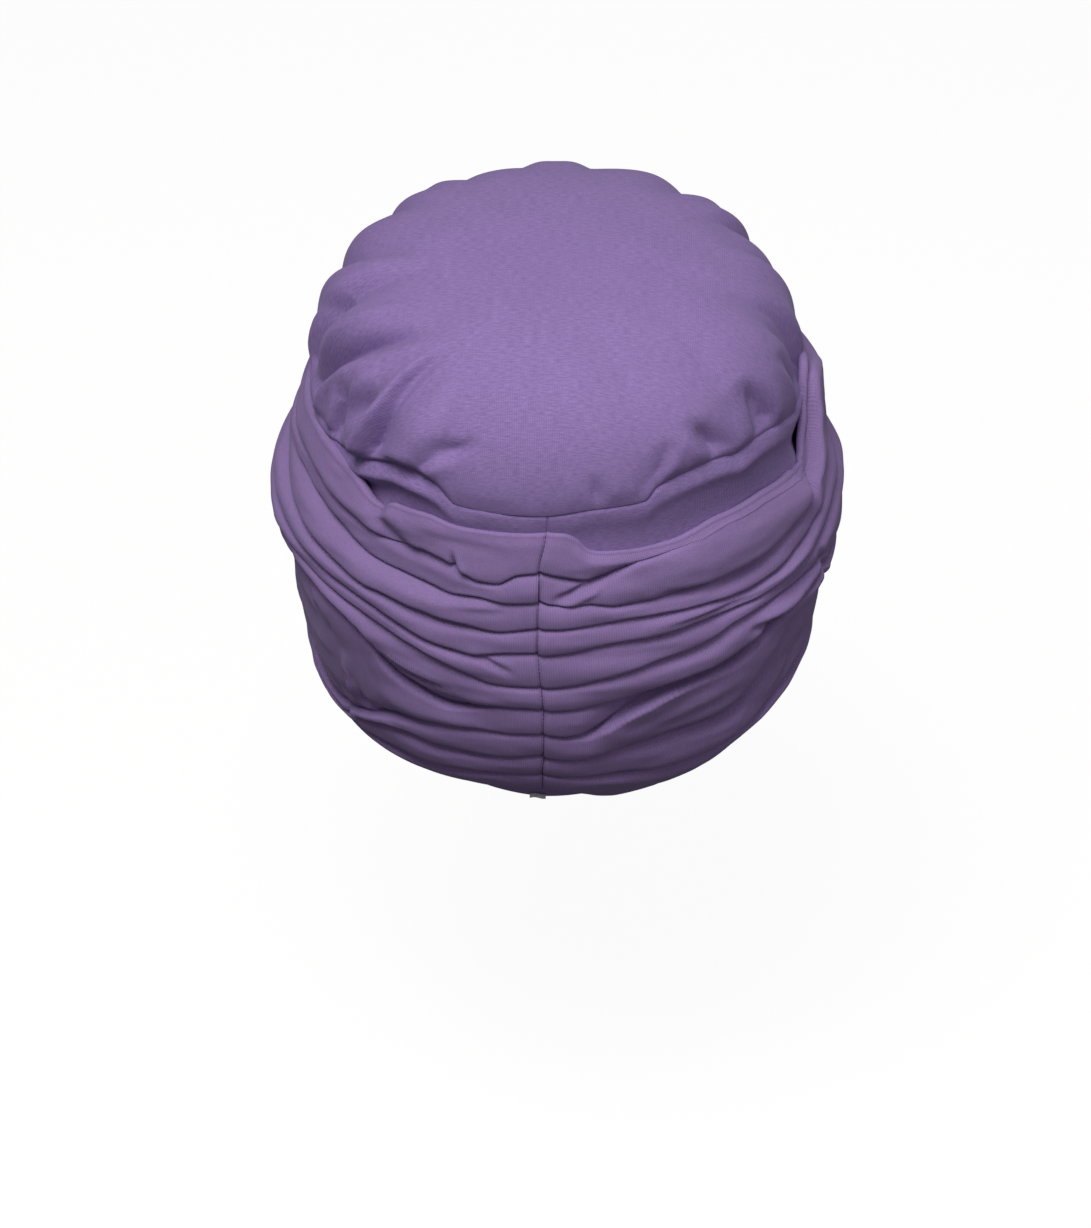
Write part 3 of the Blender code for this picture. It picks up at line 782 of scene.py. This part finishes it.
def crown_surface(angle, share):
    """Face of the crown tip at a share of the radius."""
    length = np.where(np.abs(angle) < 90, SEAM_BACK, SEAM_FRONT) * share
    straighter = 1 - ease((np.abs(angle) - STRAIGHTER_WITHIN) / STRAIGHTER_FADE)
    fall = (1 - share ** CROWN_PLAN_POWER) ** (1 / (CROWN_RISE_POWER - BACK_STRAIGHTER * straighter))
    seam = seam_height(angle)
    height = seam + (SEAM_Z + CROWN_RISE - seam) * fall
    point = place(angle, SEAM_SIDE * share, length, height)
    outward = point - np.array([0.0, 0.0, SEAM_Z - SWELL_CENTRE_DROP])
    outward = outward / np.linalg.norm(outward, axis=-1, keepdims=True)
    puff = CROWN_PUFF * np.sin(np.pi * share ** 4)
    soft = uneven(point[..., 0], point[..., 1], CROWN_WAVES)
    move = puff - gather_dent(angle, share, height - seam) + soft * (1 - share ** 12) + puckers(angle, share)
    creases = crease_depth(TIP_CREASES, 1.0, point[..., 0], point[..., 1])
    move = move - creases * ease((height - seam) / TIP_CREASE_RISE)
    point = point + outward * move[..., None]
    above = np.maximum(height - seam, 0)
    q = above / OVERHANG_HEIGHT
    hang = table_value(OVERHANG, angle) * q * np.exp(1 - q)
    pull = table_value(SEAM_PULL, angle) * bell(above, PULL_REACH)
    return point + level_outward(point) * (hang - pull)[..., None]


def crown_tip(material):
    """Gathered oval panel with its edge turned in at the seam."""
    angle = np.linspace(-180, 180, CROWN_COLUMNS, endpoint=False)[None, :]
    share = np.sin(np.linspace(CROWN_START, np.pi / 2, CROWN_RINGS)) ** CROWN_RING_POWER
    share = share[:, None]
    points = crown_surface(angle, share)
    edge = points[-1]
    tuck = [edge - level_outward(edge) * inwards - [0, 0, down] for inwards, down in TIP_TURN_IN]
    points = np.concatenate([points, np.array(tuck)])
    steps = spans(points).mean(axis=1)
    first = np.linalg.norm(points[0] - points[0].mean(axis=0), axis=-1).mean()
    arc = np.concatenate([[first], first + np.cumsum(steps)])[:, None]
    turn = np.radians(angle)
    uv = np.stack([arc * np.sin(turn), -arc * np.cos(turn)], axis=-1)
    middle = np.tile(points[0].mean(axis=0) + [0, 0, 0.01], (1, CROWN_COLUMNS, 1))
    points = np.concatenate([middle, points])
    uv = np.concatenate([np.zeros((1, CROWN_COLUMNS, 2)), uv])
    piece = grid_object("tip_panel", points, uv, True, material, "crown_tip")
    weld_start(piece, CROWN_COLUMNS)


def weld_start(piece, columns):
    """Joins the first ring of a grid to one point."""
    shape = bmesh.new()
    shape.from_mesh(piece.data)
    shape.verts.ensure_lookup_table()
    bmesh.ops.pointmerge(shape, verts=shape.verts[:columns], merge_co=shape.verts[0].co)
    shape.to_mesh(piece.data)
    shape.free()


def back_weighted(count):
    """Angles from 0 to 180, closer together at the back."""
    u = np.linspace(0, 1, count)
    return 180 * (0.4 * u + 0.6 * u * u)


def manner(table, angle):
    """Rows of a manner table at the angles."""
    return np.array([np.interp(angle, MANNER_AT, row) for row in table])


def covered_sink(height, top_edge, hem_low):
    """How far in mm band and folds sink in where the drape covers the band."""
    below = ease((top_edge - height - COVER_MARGIN) / COVER_TOP_EASE)
    above = ease((height - hem_low - HEM_HEIGHT - COVER_MARGIN) / COVER_LOW_EASE)
    return UNDER_SINK * below * above


def fold_lines(side, angle):
    """Heights of the fold lines, each a little below the one above it."""
    seed = LINE_SEED[side]
    lines = []
    for i, row in enumerate(FOLD_LINES[side]):
        wander = sum(depth * ripple(angle / step, 0 * angle + i * apart, seed + k)
                     for k, (depth, step, apart) in enumerate(LINE_WANDER))
        wander = wander * ease(angle / SEAM_STEADY) * ease((180 - angle) / SEAM_STEADY)
        at, level = np.reshape(row, (-1, 2)).T
        line = smooth(at, level, angle) + wander
        if i == 0 and side == "left":
            middle, steep, gentle, rise = EDGE_CORNER
            off = angle - middle
            line = line + rise * bell(off, np.where(off < 0, steep, gentle))
        lines.append(line)
    for i in range(1, len(lines)):
        lines[i] = np.minimum(lines[i], lines[i - 1] - LEAST_FOLD_HEIGHT)
    return np.array(lines)


def cusp(distance, width):
    """1 on a fold line, falling to 0 at the width away from it."""
    return np.clip(1 - distance / width, 0, 1) ** CUSP_POWER


def lap_curve(distance, width):
    """How far a lapping edge hangs over: 0 on the line, most a little way from it."""
    q = distance / (LAP_PEAK * width)
    return q * np.exp(1 - q)


def groove(distance, width):
    """1 on a fold line: a thin crease at the bottom of a broader soft hollow."""
    thin = cusp(distance, np.minimum(width, CREASE_WIDTH))
    return CREASE_SHARE * thin + (1 - CREASE_SHARE) * cusp(distance, width)


def fold_edge(distance, tall, other, lap, spread, narrow, depth):
    """Groove along one edge of a fold, as a share of its lift, and how far its lap hangs over."""
    width = tall * narrow * np.interp(lap, (-1, 0, 1), spread)
    share = LEAST_DEPTH + (1 - LEAST_DEPTH) * np.minimum(1, np.maximum(tall, other) / FULL_FOLD_HEIGHT)
    return share * depth * groove(distance, width), lap_curve(distance, width)


def fold_section(side, angle, lines, i):
    """Rows of one fold: heights, lifts and the laps that move them, from its upper to its lower line."""
    laps = manner(LAPS[side], angle)
    gain = 1 + DEPTH_GAIN * ease((angle - GAIN_FROM) / GAIN_OVER)
    depths = np.minimum(1, manner(DEPTHS[side], angle) * gain)
    talls = -np.diff(lines, axis=0)
    order = np.arange(len(talls))[:, None]
    swell = ripple(angle / SWELL_STEP + 0 * order, 0 * angle + SWELL_APART * order, SWELL_SEED[side])
    bodies = manner(BODIES[side], angle) * (1 + SWELL_SHARE * swell)
    t = FOLD_T[:, None]
    tall = talls[i]
    from_top = t * tall
    from_low = (1 - t) * tall
    lap_top = laps[i]
    lap_low = laps[i + 1]
    upper = max(i - 1, 0)
    lower = min(i + 1, len(talls) - 1)
    narrow = CENTRE_NARROW + (1 - CENTRE_NARROW) * ease(angle / CENTRE_REACH)
    groove_top, curve_top = fold_edge(from_top, tall, talls[upper], lap_top, TOP_SPREAD, narrow, depths[i])
    groove_low, curve_low = fold_edge(from_low, tall, talls[lower], lap_low, LOW_SPREAD, narrow, depths[i + 1])
    body_top = 0.5 * (bodies[upper] - bodies[i]) * (1 - depths[i]) * (1 - ease(2 * t))
    body_low = 0.5 * (bodies[lower] - bodies[i]) * (1 - depths[i + 1]) * (1 - ease(2 - 2 * t))
    body = bodies[i] + body_top + body_low
    full_top = np.minimum(tall, talls[upper])
    full_low = np.minimum(tall, talls[lower])
    full = np.minimum(1, (full_top * (1 - t) + full_low * t) / FULL_FOLD_HEIGHT)
    leaning = np.maximum(lap_low, 0) * (1 - t) + np.maximum(-lap_top, 0) * t
    round_top = CREST - full * (FOLD_ROUND * (1 - np.sin(np.pi * t)) + FOLD_LEAN * leaning)
    lift = body * round_top * np.maximum(0, 1 - groove_top - groove_low)
    overlap = np.minimum(LAP_SHARE * tall, LAP_MOST) * ease(angle / LAP_OVER + LAP_AT_SEAM)
    down = overlap * np.maximum(lap_low, 0) * curve_low
    up = overlap * np.maximum(-lap_top, 0) * curve_top
    return lines[i] - from_top, lift, up - down


def rim_value(side, angle, column):
    """One column of the table of rims at the angles."""
    return np.interp(angle, RIMS[side][:, 0], RIMS[side][:, column])


def drape_surface(side):
    """Grid of points and cloth coordinates of one draped half."""
    way = -1 if side == "left" else 1
    angle = back_weighted(DRAPE_COLUMNS)
    lines = fold_lines(side, angle)
    sections = [fold_section(side, angle, lines, i) for i in range(len(lines) - 1)]
    last_lift = 1 - manner(DEPTHS[side], angle)[-1]
    sections.append((lines[-1][None], last_lift[None], np.zeros((1, len(angle)))))
    height, lift, move = (np.concatenate(rows) for rows in zip(*sections))
    lift = lift * (1 - rim_value(side, angle, 1) * cusp(lines[0] - height, rim_value(side, angle, 2)))
    wide = np.broadcast_to(angle, height.shape)
    turned = way * wide
    run = wide * ARC_PER_DEGREE
    band_side, band_length = plan_reach(BAND_PLAN, turned, height)
    crest_side, crest_length = plan_reach(DRAPE_PLAN, turned, height)
    seat = CLOTH_SEAT - covered_sink(height, lines[0], hem_edge(wide))
    room_side = np.maximum(crest_side - band_side - seat, LEAST_ROOM)
    room_length = np.maximum(crest_length - band_length - seat, LEAST_ROOM)
    seed = WAVE_SEED[side]
    fine = uneven(run, height, [(*wave, seed + k) for k, wave in enumerate(DRAPE_WAVES)])
    fine = fine * ease(wide / WAVE_START)
    seam_dip = SEAM_DIP * notch(run, SEAM_DIP_WIDTH)
    seam_dip = seam_dip + SEAM_DIP * notch((180 - wide) * ARC_PER_DEGREE, SEAM_DIP_WIDTH)
    extra = fine - crease_depth(TUCKS[side], ARC_PER_DEGREE, run, height) - seam_dip
    sides = band_side + np.maximum(seat + lift * room_side + extra, seat - LEAST_SEAT)
    lengths = band_length + np.maximum(seat + lift * room_length + extra, seat - LEAST_SEAT)
    points = place(turned, sides, lengths, height + move)
    top = rolled_edge(points[0], 1, rim_value(side, angle, 3))
    low = rolled_edge(points[-1], -1, np.full(len(angle), LOW_ROLL))
    points = np.concatenate([top[::-1], points, low])
    wander = smooth(SEAM_WANDER[:, 0], SEAM_WANDER[:, 1], points[..., 2])
    points[..., 0] += wander * bell(angle, WANDER_REACH) + way * HALVES_APART
    down = np.concatenate([np.zeros((1, len(angle))), np.cumsum(spans(points), axis=0)])
    uv = np.stack([np.broadcast_to(way * angle * ARC_PER_DEGREE, down.shape), -down], axis=-1)
    return points, uv


def rolled_edge(edge, upper, radius):
    """Rows that turn the upper (1) or lower (-1) edge of the drape inwards round a soft roll."""
    radial = level_outward(edge)
    radius = radius[:, None]
    rows = []
    for turn in np.radians(ROLL_TURNS):
        inwards = radial * radius * (1 - math.cos(turn))
        rise = np.array([0, 0, upper * math.sin(turn)]) * radius
        rows.append(edge - inwards + rise)
    for fall in ROLL_FALLS:
        rows.append(edge - radial * 2 * radius - np.array([0, 0, upper * fall]))
    return np.array(rows)


def drape(side, material):
    """One draped half as a sheet of cloth; returns its points."""
    points, uv = drape_surface(side)
    piece = grid_object(f"drape_cloth_{side}", points, uv, False, material, f"drape_{side}")
    return points


def side_band(material, hem):
    """Band between the tip seam and the hem, tucked in at the seam."""
    even = np.linspace(-180, 180, BAND_COLUMNS, endpoint=False)
    close = BACK_SEAM_ANGLE + np.linspace(-BACK_SEAM_SPREAD, BACK_SEAM_SPREAD, 25)
    angle = np.sort(np.concatenate([even, close]))[None, :]
    top = seam_height(angle)
    low = hem_edge(angle) + 1.0
    down = (np.linspace(0, 1, BAND_RINGS) ** 1.4)[:, None]
    height = top + (low - top) * down
    angle = np.broadcast_to(angle, height.shape)
    below_seam = top - height
    pucker = uneven(angle, below_seam, (BAND_PUCKER,)) * np.exp(-below_seam / BAND_PUCKER_FADE)
    soft = uneven(angle, height, (BAND_WAVE,))
    dip = SEAM_DIP * notch(below_seam, TIP_SEAM_WIDTH)
    back_seam = BACK_SEAM_DIP * notch((angle - BACK_SEAM_ANGLE) * ARC_PER_DEGREE, BACK_SEAM_WIDTH)
    bulge = table_value(BAND_BULGE, angle) * bell(below_seam, BULGE_WIDTH, BULGE_BELOW)
    sink = table_value(BAND_SINK, angle) * bell(below_seam, SINK_WIDTH, SINK_BELOW)
    pull = table_value(SEAM_PULL, angle) * bell(below_seam, PULL_REACH)
    halves = [fold_lines(side, np.abs(angle[0]))[0] for side in ("left", "right")]
    edge = np.where(angle[0] < 0, *halves)
    covered = covered_sink(height, edge, low - 1.0)
    points = on_band(angle, height, pucker + soft + bulge - sink - covered - pull - dip - back_seam)
    seam_pull = table_value(SEAM_PULL, angle[0])
    inside = [on_band(angle[0], top[0] + up, -inwards - seam_pull) for inwards, up in BAND_TURN_IN]
    points = np.concatenate([np.array(inside), points])
    height = np.concatenate([top + up for _, up in BAND_TURN_IN] + [height])
    angle = np.broadcast_to(angle[:1], height.shape)
    uv = np.stack([angle * ARC_PER_DEGREE, height], axis=-1)
    piece = grid_object("side_band", points, uv, True, material, "crown_band", CLOTH_TURN)


def turned_hem(material):
    """Hem folded up inside, with a rounded lower edge and a sunk stitch line."""
    angle = np.linspace(-180, 180, HEM_COLUMNS, endpoint=False)[None, :]
    low = hem_edge(angle)
    radius = HEM_WALL / 2
    rows = []
    for up in (*HEM_OUTSIDE, radius):
        rows.append(on_band(angle, low + up, -HEM_STITCH_SUNK * bell(up, HEM_STITCH_SUNK, HEM_STITCH_UP)))
    for turn in np.radians(HEM_TURNS):
        rows.append(on_band(angle, low + radius - radius * math.sin(turn), -radius * (1 - math.cos(turn))))
    for up in (radius, *HEM_INSIDE):
        rows.append(on_band(angle, low + up, -HEM_WALL))
    points = np.array(rows)[:, 0]
    points[..., :2] *= 1 + HEM_UNEVEN * ripple(angle / 5, 0 * angle, 18)[0][None, :, None]
    arc = np.concatenate([[0], np.cumsum(spans(points).mean(axis=1))])[:, None]
    shape = points.shape[:2]
    uv = np.stack([np.broadcast_to(angle * ARC_PER_DEGREE, shape), np.broadcast_to(-arc, shape)], axis=-1)
    return grid_object("turned_hem", points, uv, True, material, "hem", CLOTH_TURN)


def label_tab(material):
    """Thin woven tab that comes out under the hem, turns up its face and folds outwards."""
    low, high = (np.array(corner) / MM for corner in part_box("label_tab"))
    under = on_band(np.array([0.0]), np.array([HEM_LINE[0]]))[0]
    across = np.linspace(low[0], high[0], TAB_COLUMNS)
    bow = TAB_BOW * np.sin((across - low[0]) / TAB_BOW_LENGTH)
    rows = [np.stack([across, under[1] - out + bow, under[2] + up + 0.8 * bow], axis=-1) for out, up in TAB_PROFILE]
    points = np.array(rows)
    uv = np.stack([points[..., 0], points[..., 2]], axis=-1)
    grid_object("woven_tab", points, uv, False, material, "label_tab")


def knit_group():
    """Fine ribs of jersey: Height for the bump and Shade for the colour, from cloth coordinates; Shade mixes
    painted shade in the grooves between ribs with dashes and uneven dye.
    """
    group = bpy.data.node_groups.new("Jersey knit", "ShaderNodeTree")
    face = group.interface
    face.new_socket("Cloth", in_out="INPUT", socket_type="NodeSocketVector")
    for way, names in (("INPUT", ("Ribs per metre", "Streaks")), ("OUTPUT", ("Height", "Shade"))):
        for name in names:
            face.new_socket(name, in_out=way, socket_type="NodeSocketFloat")
    nodes = group.nodes
    link = group.links.new
    start = nodes.new("NodeGroupInput").outputs
    end = nodes.new("NodeGroupOutput").inputs

    def maths(kind, a, b=None):
        node = nodes.new("ShaderNodeMath")
        node.operation = kind
        for slot, value in zip(node.inputs, (a, b)):
            if isinstance(value, (int, float)):
                slot.default_value = value
            elif value is not None:
                link(value, slot)
        return node.outputs[0]

    def times(a, b):
        return maths("MULTIPLY", a, b)

    def noise(scale, detail, stretch=None):
        vector = start["Cloth"]
        if stretch:
            scaled = nodes.new("ShaderNodeVectorMath")
            scaled.operation = "MULTIPLY"
            scaled.inputs[1].default_value = stretch
            link(vector, scaled.inputs[0])
            vector = scaled.outputs[0]
        node = nodes.new("ShaderNodeTexNoise")
        set_values(node, {"Scale": scale, "Detail": detail})
        link(vector, node.inputs["Vector"])
        return node.outputs["Fac"]

    parts = nodes.new("ShaderNodeSeparateXYZ")
    link(start["Cloth"], parts.inputs[0])
    wander = times(maths("SUBTRACT", noise(160, 2), 0.5), 0.5)
    rib = maths("ADD", times(parts.outputs["X"], start["Ribs per metre"]), wander)
    rib = maths("ABSOLUTE", maths("SINE", times(rib, math.pi)))
    course = maths("SINE", times(parts.outputs["Y"], 2 * math.pi * COURSES_PER_METRE))
    course = times(maths("ADD", course, 1.0), 0.5)
    fibre = noise(1400, 3)
    dashes = noise(1, 2, DASH_STRETCH)
    loops = maths("ADD", times(rib, 0.85), times(times(rib, course), 0.15))
    height = maths("ADD", loops, times(fibre, 0.5))
    height = maths("ADD", height, times(times(dashes, start["Streaks"]), 1.6))
    link(height, end["Height"])
    # painted shade: the colour darkens in the grooves between ribs, where the bump is low
    rib_groove_shade = times(rib, maths("SUBTRACT", 0.5, times(start["Streaks"], 0.5)))
    streaked = times(maths("ADD", dashes, -0.5), times(start["Streaks"], 2.4))
    mottled = maths("ADD", times(fibre, 0.45), times(noise(55, 3), 0.25))
    link(maths("ADD", maths("ADD", rib_groove_shade, streaked), mottled), end["Shade"])


def set_values(node, values):
    """Sets sockets of a node by their names."""
    for name, value in values.items():
        node.inputs[name].default_value = value


def new_material(name, values):
    """Material with the given values on its shader; also gives its nodes, its link call and the shader."""
    material = bpy.data.materials.new(name)
    material.use_nodes = True
    tree = material.node_tree
    shader = tree.nodes["Principled BSDF"]
    set_values(shader, values)
    return material, tree.nodes, tree.links.new, shader


def two_colours(nodes, link, dark, light, factor, shader):
    """Colours the shader between a dark and a light colour."""
    colours = nodes.new("ShaderNodeMix")
    colours.data_type = "RGBA"
    set_values(colours, {"A": (*dark, 1), "B": (*light, 1)})
    link(factor, colours.inputs["Factor"])
    link(colours.outputs["Result"], shader.inputs["Base Color"])


def jersey(name, dark, light, streaks, bump):
    """Matt knitted cloth with fine ribs, a soft nap, a slightly uneven dye and painted shade in the grooves between
    ribs.
    """
    material, nodes, link, shader = new_material(name, JERSEY_FINISH)
    cloth = nodes.new("ShaderNodeUVMap")
    cloth.uv_map = "Cloth"
    knit = nodes.new("ShaderNodeGroup")
    knit.node_tree = bpy.data.node_groups["Jersey knit"]
    set_values(knit, {"Ribs per metre": RIBS_PER_METRE, "Streaks": streaks})
    link(cloth.outputs["UV"], knit.inputs["Cloth"])
    two_colours(nodes, link, dark, light, knit.outputs["Shade"], shader)
    relief = nodes.new("ShaderNodeBump")
    set_values(relief, {"Strength": bump, "Distance": KNIT_RELIEF})
    link(knit.outputs["Height"], relief.inputs["Height"])
    link(relief.outputs["Normal"], shader.inputs["Normal"])
    return material


def thread(name, colour, roughness):
    """Plain sewing thread or tape, with a fine twill of its own."""
    material, nodes, link, shader = new_material(name, {"Roughness": roughness})
    place_in = nodes.new("ShaderNodeTexCoord")
    grain = nodes.new("ShaderNodeTexNoise")
    set_values(grain, {"Scale": THREAD_GRAIN})
    link(place_in.outputs["Object"], grain.inputs["Vector"])
    two_colours(nodes, link, [0.7 * c for c in colour], colour, grain.outputs["Fac"], shader)
    return material


def stitch_mesh(name, centres, alongs, outs, length, width, material, slot):
    """Many short rounded stitches as one mesh: each is a stretched six-sided bead."""
    points = []
    faces = []
    for centre, along, out in zip(centres, alongs, outs):
        along = along / np.linalg.norm(along)
        across = np.cross(along, out)
        across = across / np.linalg.norm(across)
        raised = np.cross(across, along)
        start = len(points)
        for at, size in STITCH_RINGS:
            for k in range(STITCH_SIDES):
                turn = 2 * math.pi * k / STITCH_SIDES
                round_it = across * math.cos(turn) + raised * math.sin(turn)
                points.append(centre + along * at * length + round_it * size * width / 2)
        for r in range(len(STITCH_RINGS) - 1):
            for k in range(STITCH_SIDES):
                a = start + r * STITCH_SIDES + k
                b = start + r * STITCH_SIDES + (k + 1) % STITCH_SIDES
                faces.append((a, b, b + STITCH_SIDES, a + STITCH_SIDES))
        last = start + (len(STITCH_RINGS) - 1) * STITCH_SIDES
        faces.append(tuple(range(start, start + STITCH_SIDES))[::-1])
        faces.append(tuple(range(last, last + STITCH_SIDES)))
    mesh = bpy.data.meshes.new(name)
    mesh.from_pydata([tuple(p * MM) for p in points], [], faces)
    mesh.update()
    add_piece(name, mesh, material)


def back_seam_stitches(left, right, material):
    """Small dark stitches that show in the centre back seam of the drape."""
    line = 0.5 * (left[:, 0] + right[:, 0])
    line = np.concatenate([line[:1], line[1:][line[1:, 1] < BACK_FACE_Y]])
    run = np.concatenate([[0], np.cumsum(spans(line))])
    stops = np.arange(1.0, run[-1] - 1.0, BACK_STITCH_STEP)
    centres = np.stack([np.interp(stops, run, line[:, k]) for k in range(3)], axis=-1)
    ahead = np.stack([np.interp(stops + STITCH_AHEAD, run, line[:, k]) for k in range(3)], axis=-1)
    out = np.array(BACK_OUT)
    stitch_mesh("back_seam_stitches", centres + out * BACK_STITCH_RAISE, ahead - centres, [out] * len(stops),
                *BACK_STITCH, material, "drape_cloth")


def hem_stitches(material):
    """Run of stitches round the hem."""
    angle = np.arange(-179, 180, HEM_STITCH_STEP)
    ends = (angle, angle + STITCH_AHEAD)
    centres, ahead = (on_band(at, hem_edge(at) + HEM_STITCH_UP, -HEM_STITCH_SINK) for at in ends)
    outs = centres * [1, 1, 0]
    stitch_mesh("hem_stitches", centres, ahead - centres, outs, *HEM_STITCH, material, "drape_cloth")


def area_light(name, place_at, size, power, colour):
    """Soft square light aimed at the turban."""
    lamp = bpy.data.lights.new(name, "AREA")
    lamp.shape = "RECTANGLE"
    lamp.size, lamp.size_y = size
    lamp.energy = power
    lamp.color = colour
    holder = bpy.data.objects.new(name, lamp)
    bpy.context.scene.collection.objects.link(holder)
    holder.location = place_at
    holder.rotation_euler = (Vector(LIGHT_AIM) - Vector(place_at)).to_track_quat("-Z", "Y").to_euler()


def show_to_camera(tree, plain, shown, end):
    """Lets the camera see one shader where the light meets another."""
    looked_at = tree.nodes.new("ShaderNodeLightPath")
    choose = tree.nodes.new("ShaderNodeMixShader")
    for source, slot in zip((looked_at.outputs["Is Camera Ray"], plain, shown), choose.inputs):
        tree.links.new(source, slot)
    tree.links.new(choose.outputs[0], end)


def studio():
    """Pale floor, even surround and soft lights."""
    world = bpy.data.worlds.new("Studio surround")
    bpy.context.scene.world = world
    world.use_nodes = True
    around = world.node_tree.nodes
    set_values(around["Background"], {"Color": SURROUND_COLOUR, "Strength": SURROUND})
    backdrop = around.new("ShaderNodeBackground")
    set_values(backdrop, {"Color": (1, 1, 1, 1)})
    end = around["World Output"].inputs["Surface"]
    show_to_camera(world.node_tree, around["Background"].outputs[0], backdrop.outputs[0], end)
    mesh = bpy.data.meshes.new("floor")
    half = FLOOR_HALF
    mesh.from_pydata([(-half, -half, 0), (half, -half, 0), (half, half, 0), (-half, half, 0)], [], [(0, 1, 2, 3)])
    floor = bpy.data.objects.new("floor", mesh)
    floor.location = (0, 0, FLOOR_Z)
    bpy.context.scene.collection.objects.link(floor)
    material, nodes, _, pale = new_material("Pale floor", FLOOR_FINISH)
    dim = nodes.new("ShaderNodeBsdfDiffuse")
    set_values(dim, {"Color": (FLOOR_BOUNCE, FLOOR_BOUNCE, FLOOR_BOUNCE, 1)})
    end = nodes["Material Output"].inputs["Surface"]
    show_to_camera(material.node_tree, dim.outputs[0], pale.outputs[0], end)
    mesh.materials.append(material)
    for light in LIGHTS:
        area_light(*light)


def photo_camera():
    """Camera at the photograph's angle, distance and framing."""
    back = Vector((
        math.sin(CAMERA_AZIMUTH) * math.cos(CAMERA_ELEVATION),
        -math.cos(CAMERA_AZIMUTH) * math.cos(CAMERA_ELEVATION),
        math.sin(CAMERA_ELEVATION),
    ))
    right = Vector((math.cos(CAMERA_AZIMUTH), math.sin(CAMERA_AZIMUTH), 0))
    up = back.cross(right)
    aim = AIM + AIM_SIDE * right + AIM_UP * up
    lens = bpy.data.cameras.new("photo camera")
    lens.sensor_fit = "VERTICAL"
    lens.sensor_height = SENSOR
    lens.lens = CAMERA_DISTANCE / METRES_PER_PIXEL / IMAGE_HEIGHT * SENSOR
    camera = bpy.data.objects.new("photo camera", lens)
    bpy.context.scene.collection.objects.link(camera)
    turn = Matrix((right, up, back)).transposed().to_4x4()
    camera.matrix_world = Matrix.Translation(aim + CAMERA_DISTANCE * back) @ turn
    bpy.context.scene.camera = camera


bpy.context.scene.view_settings.view_transform = "Standard"
knit_group()
tip_jersey = jersey("Tip jersey", CROWN_DARK, CROWN_LIGHT, streaks=0.72, bump=0.35)
# drape and hem get a darker, redder copy of the crown's cloth: painted shade
drape_jersey_shaded = jersey("Shaded drape jersey", DRAPE_SHADED_DARK, DRAPE_SHADED_LIGHT, streaks=0.25, bump=0.45)
side_band(tip_jersey, turned_hem(drape_jersey_shaded))
crown_tip(tip_jersey)
left_points = drape("left", drape_jersey_shaded)
right_points = drape("right", drape_jersey_shaded)
label_tab(thread("Tab tape", TAB_COLOUR, roughness=0.8))
dark_thread = thread("Seam thread", THREAD_COLOUR, roughness=0.7)
back_seam_stitches(left_points, right_points, dark_thread)
hem_stitches(dark_thread)
studio()
photo_camera()
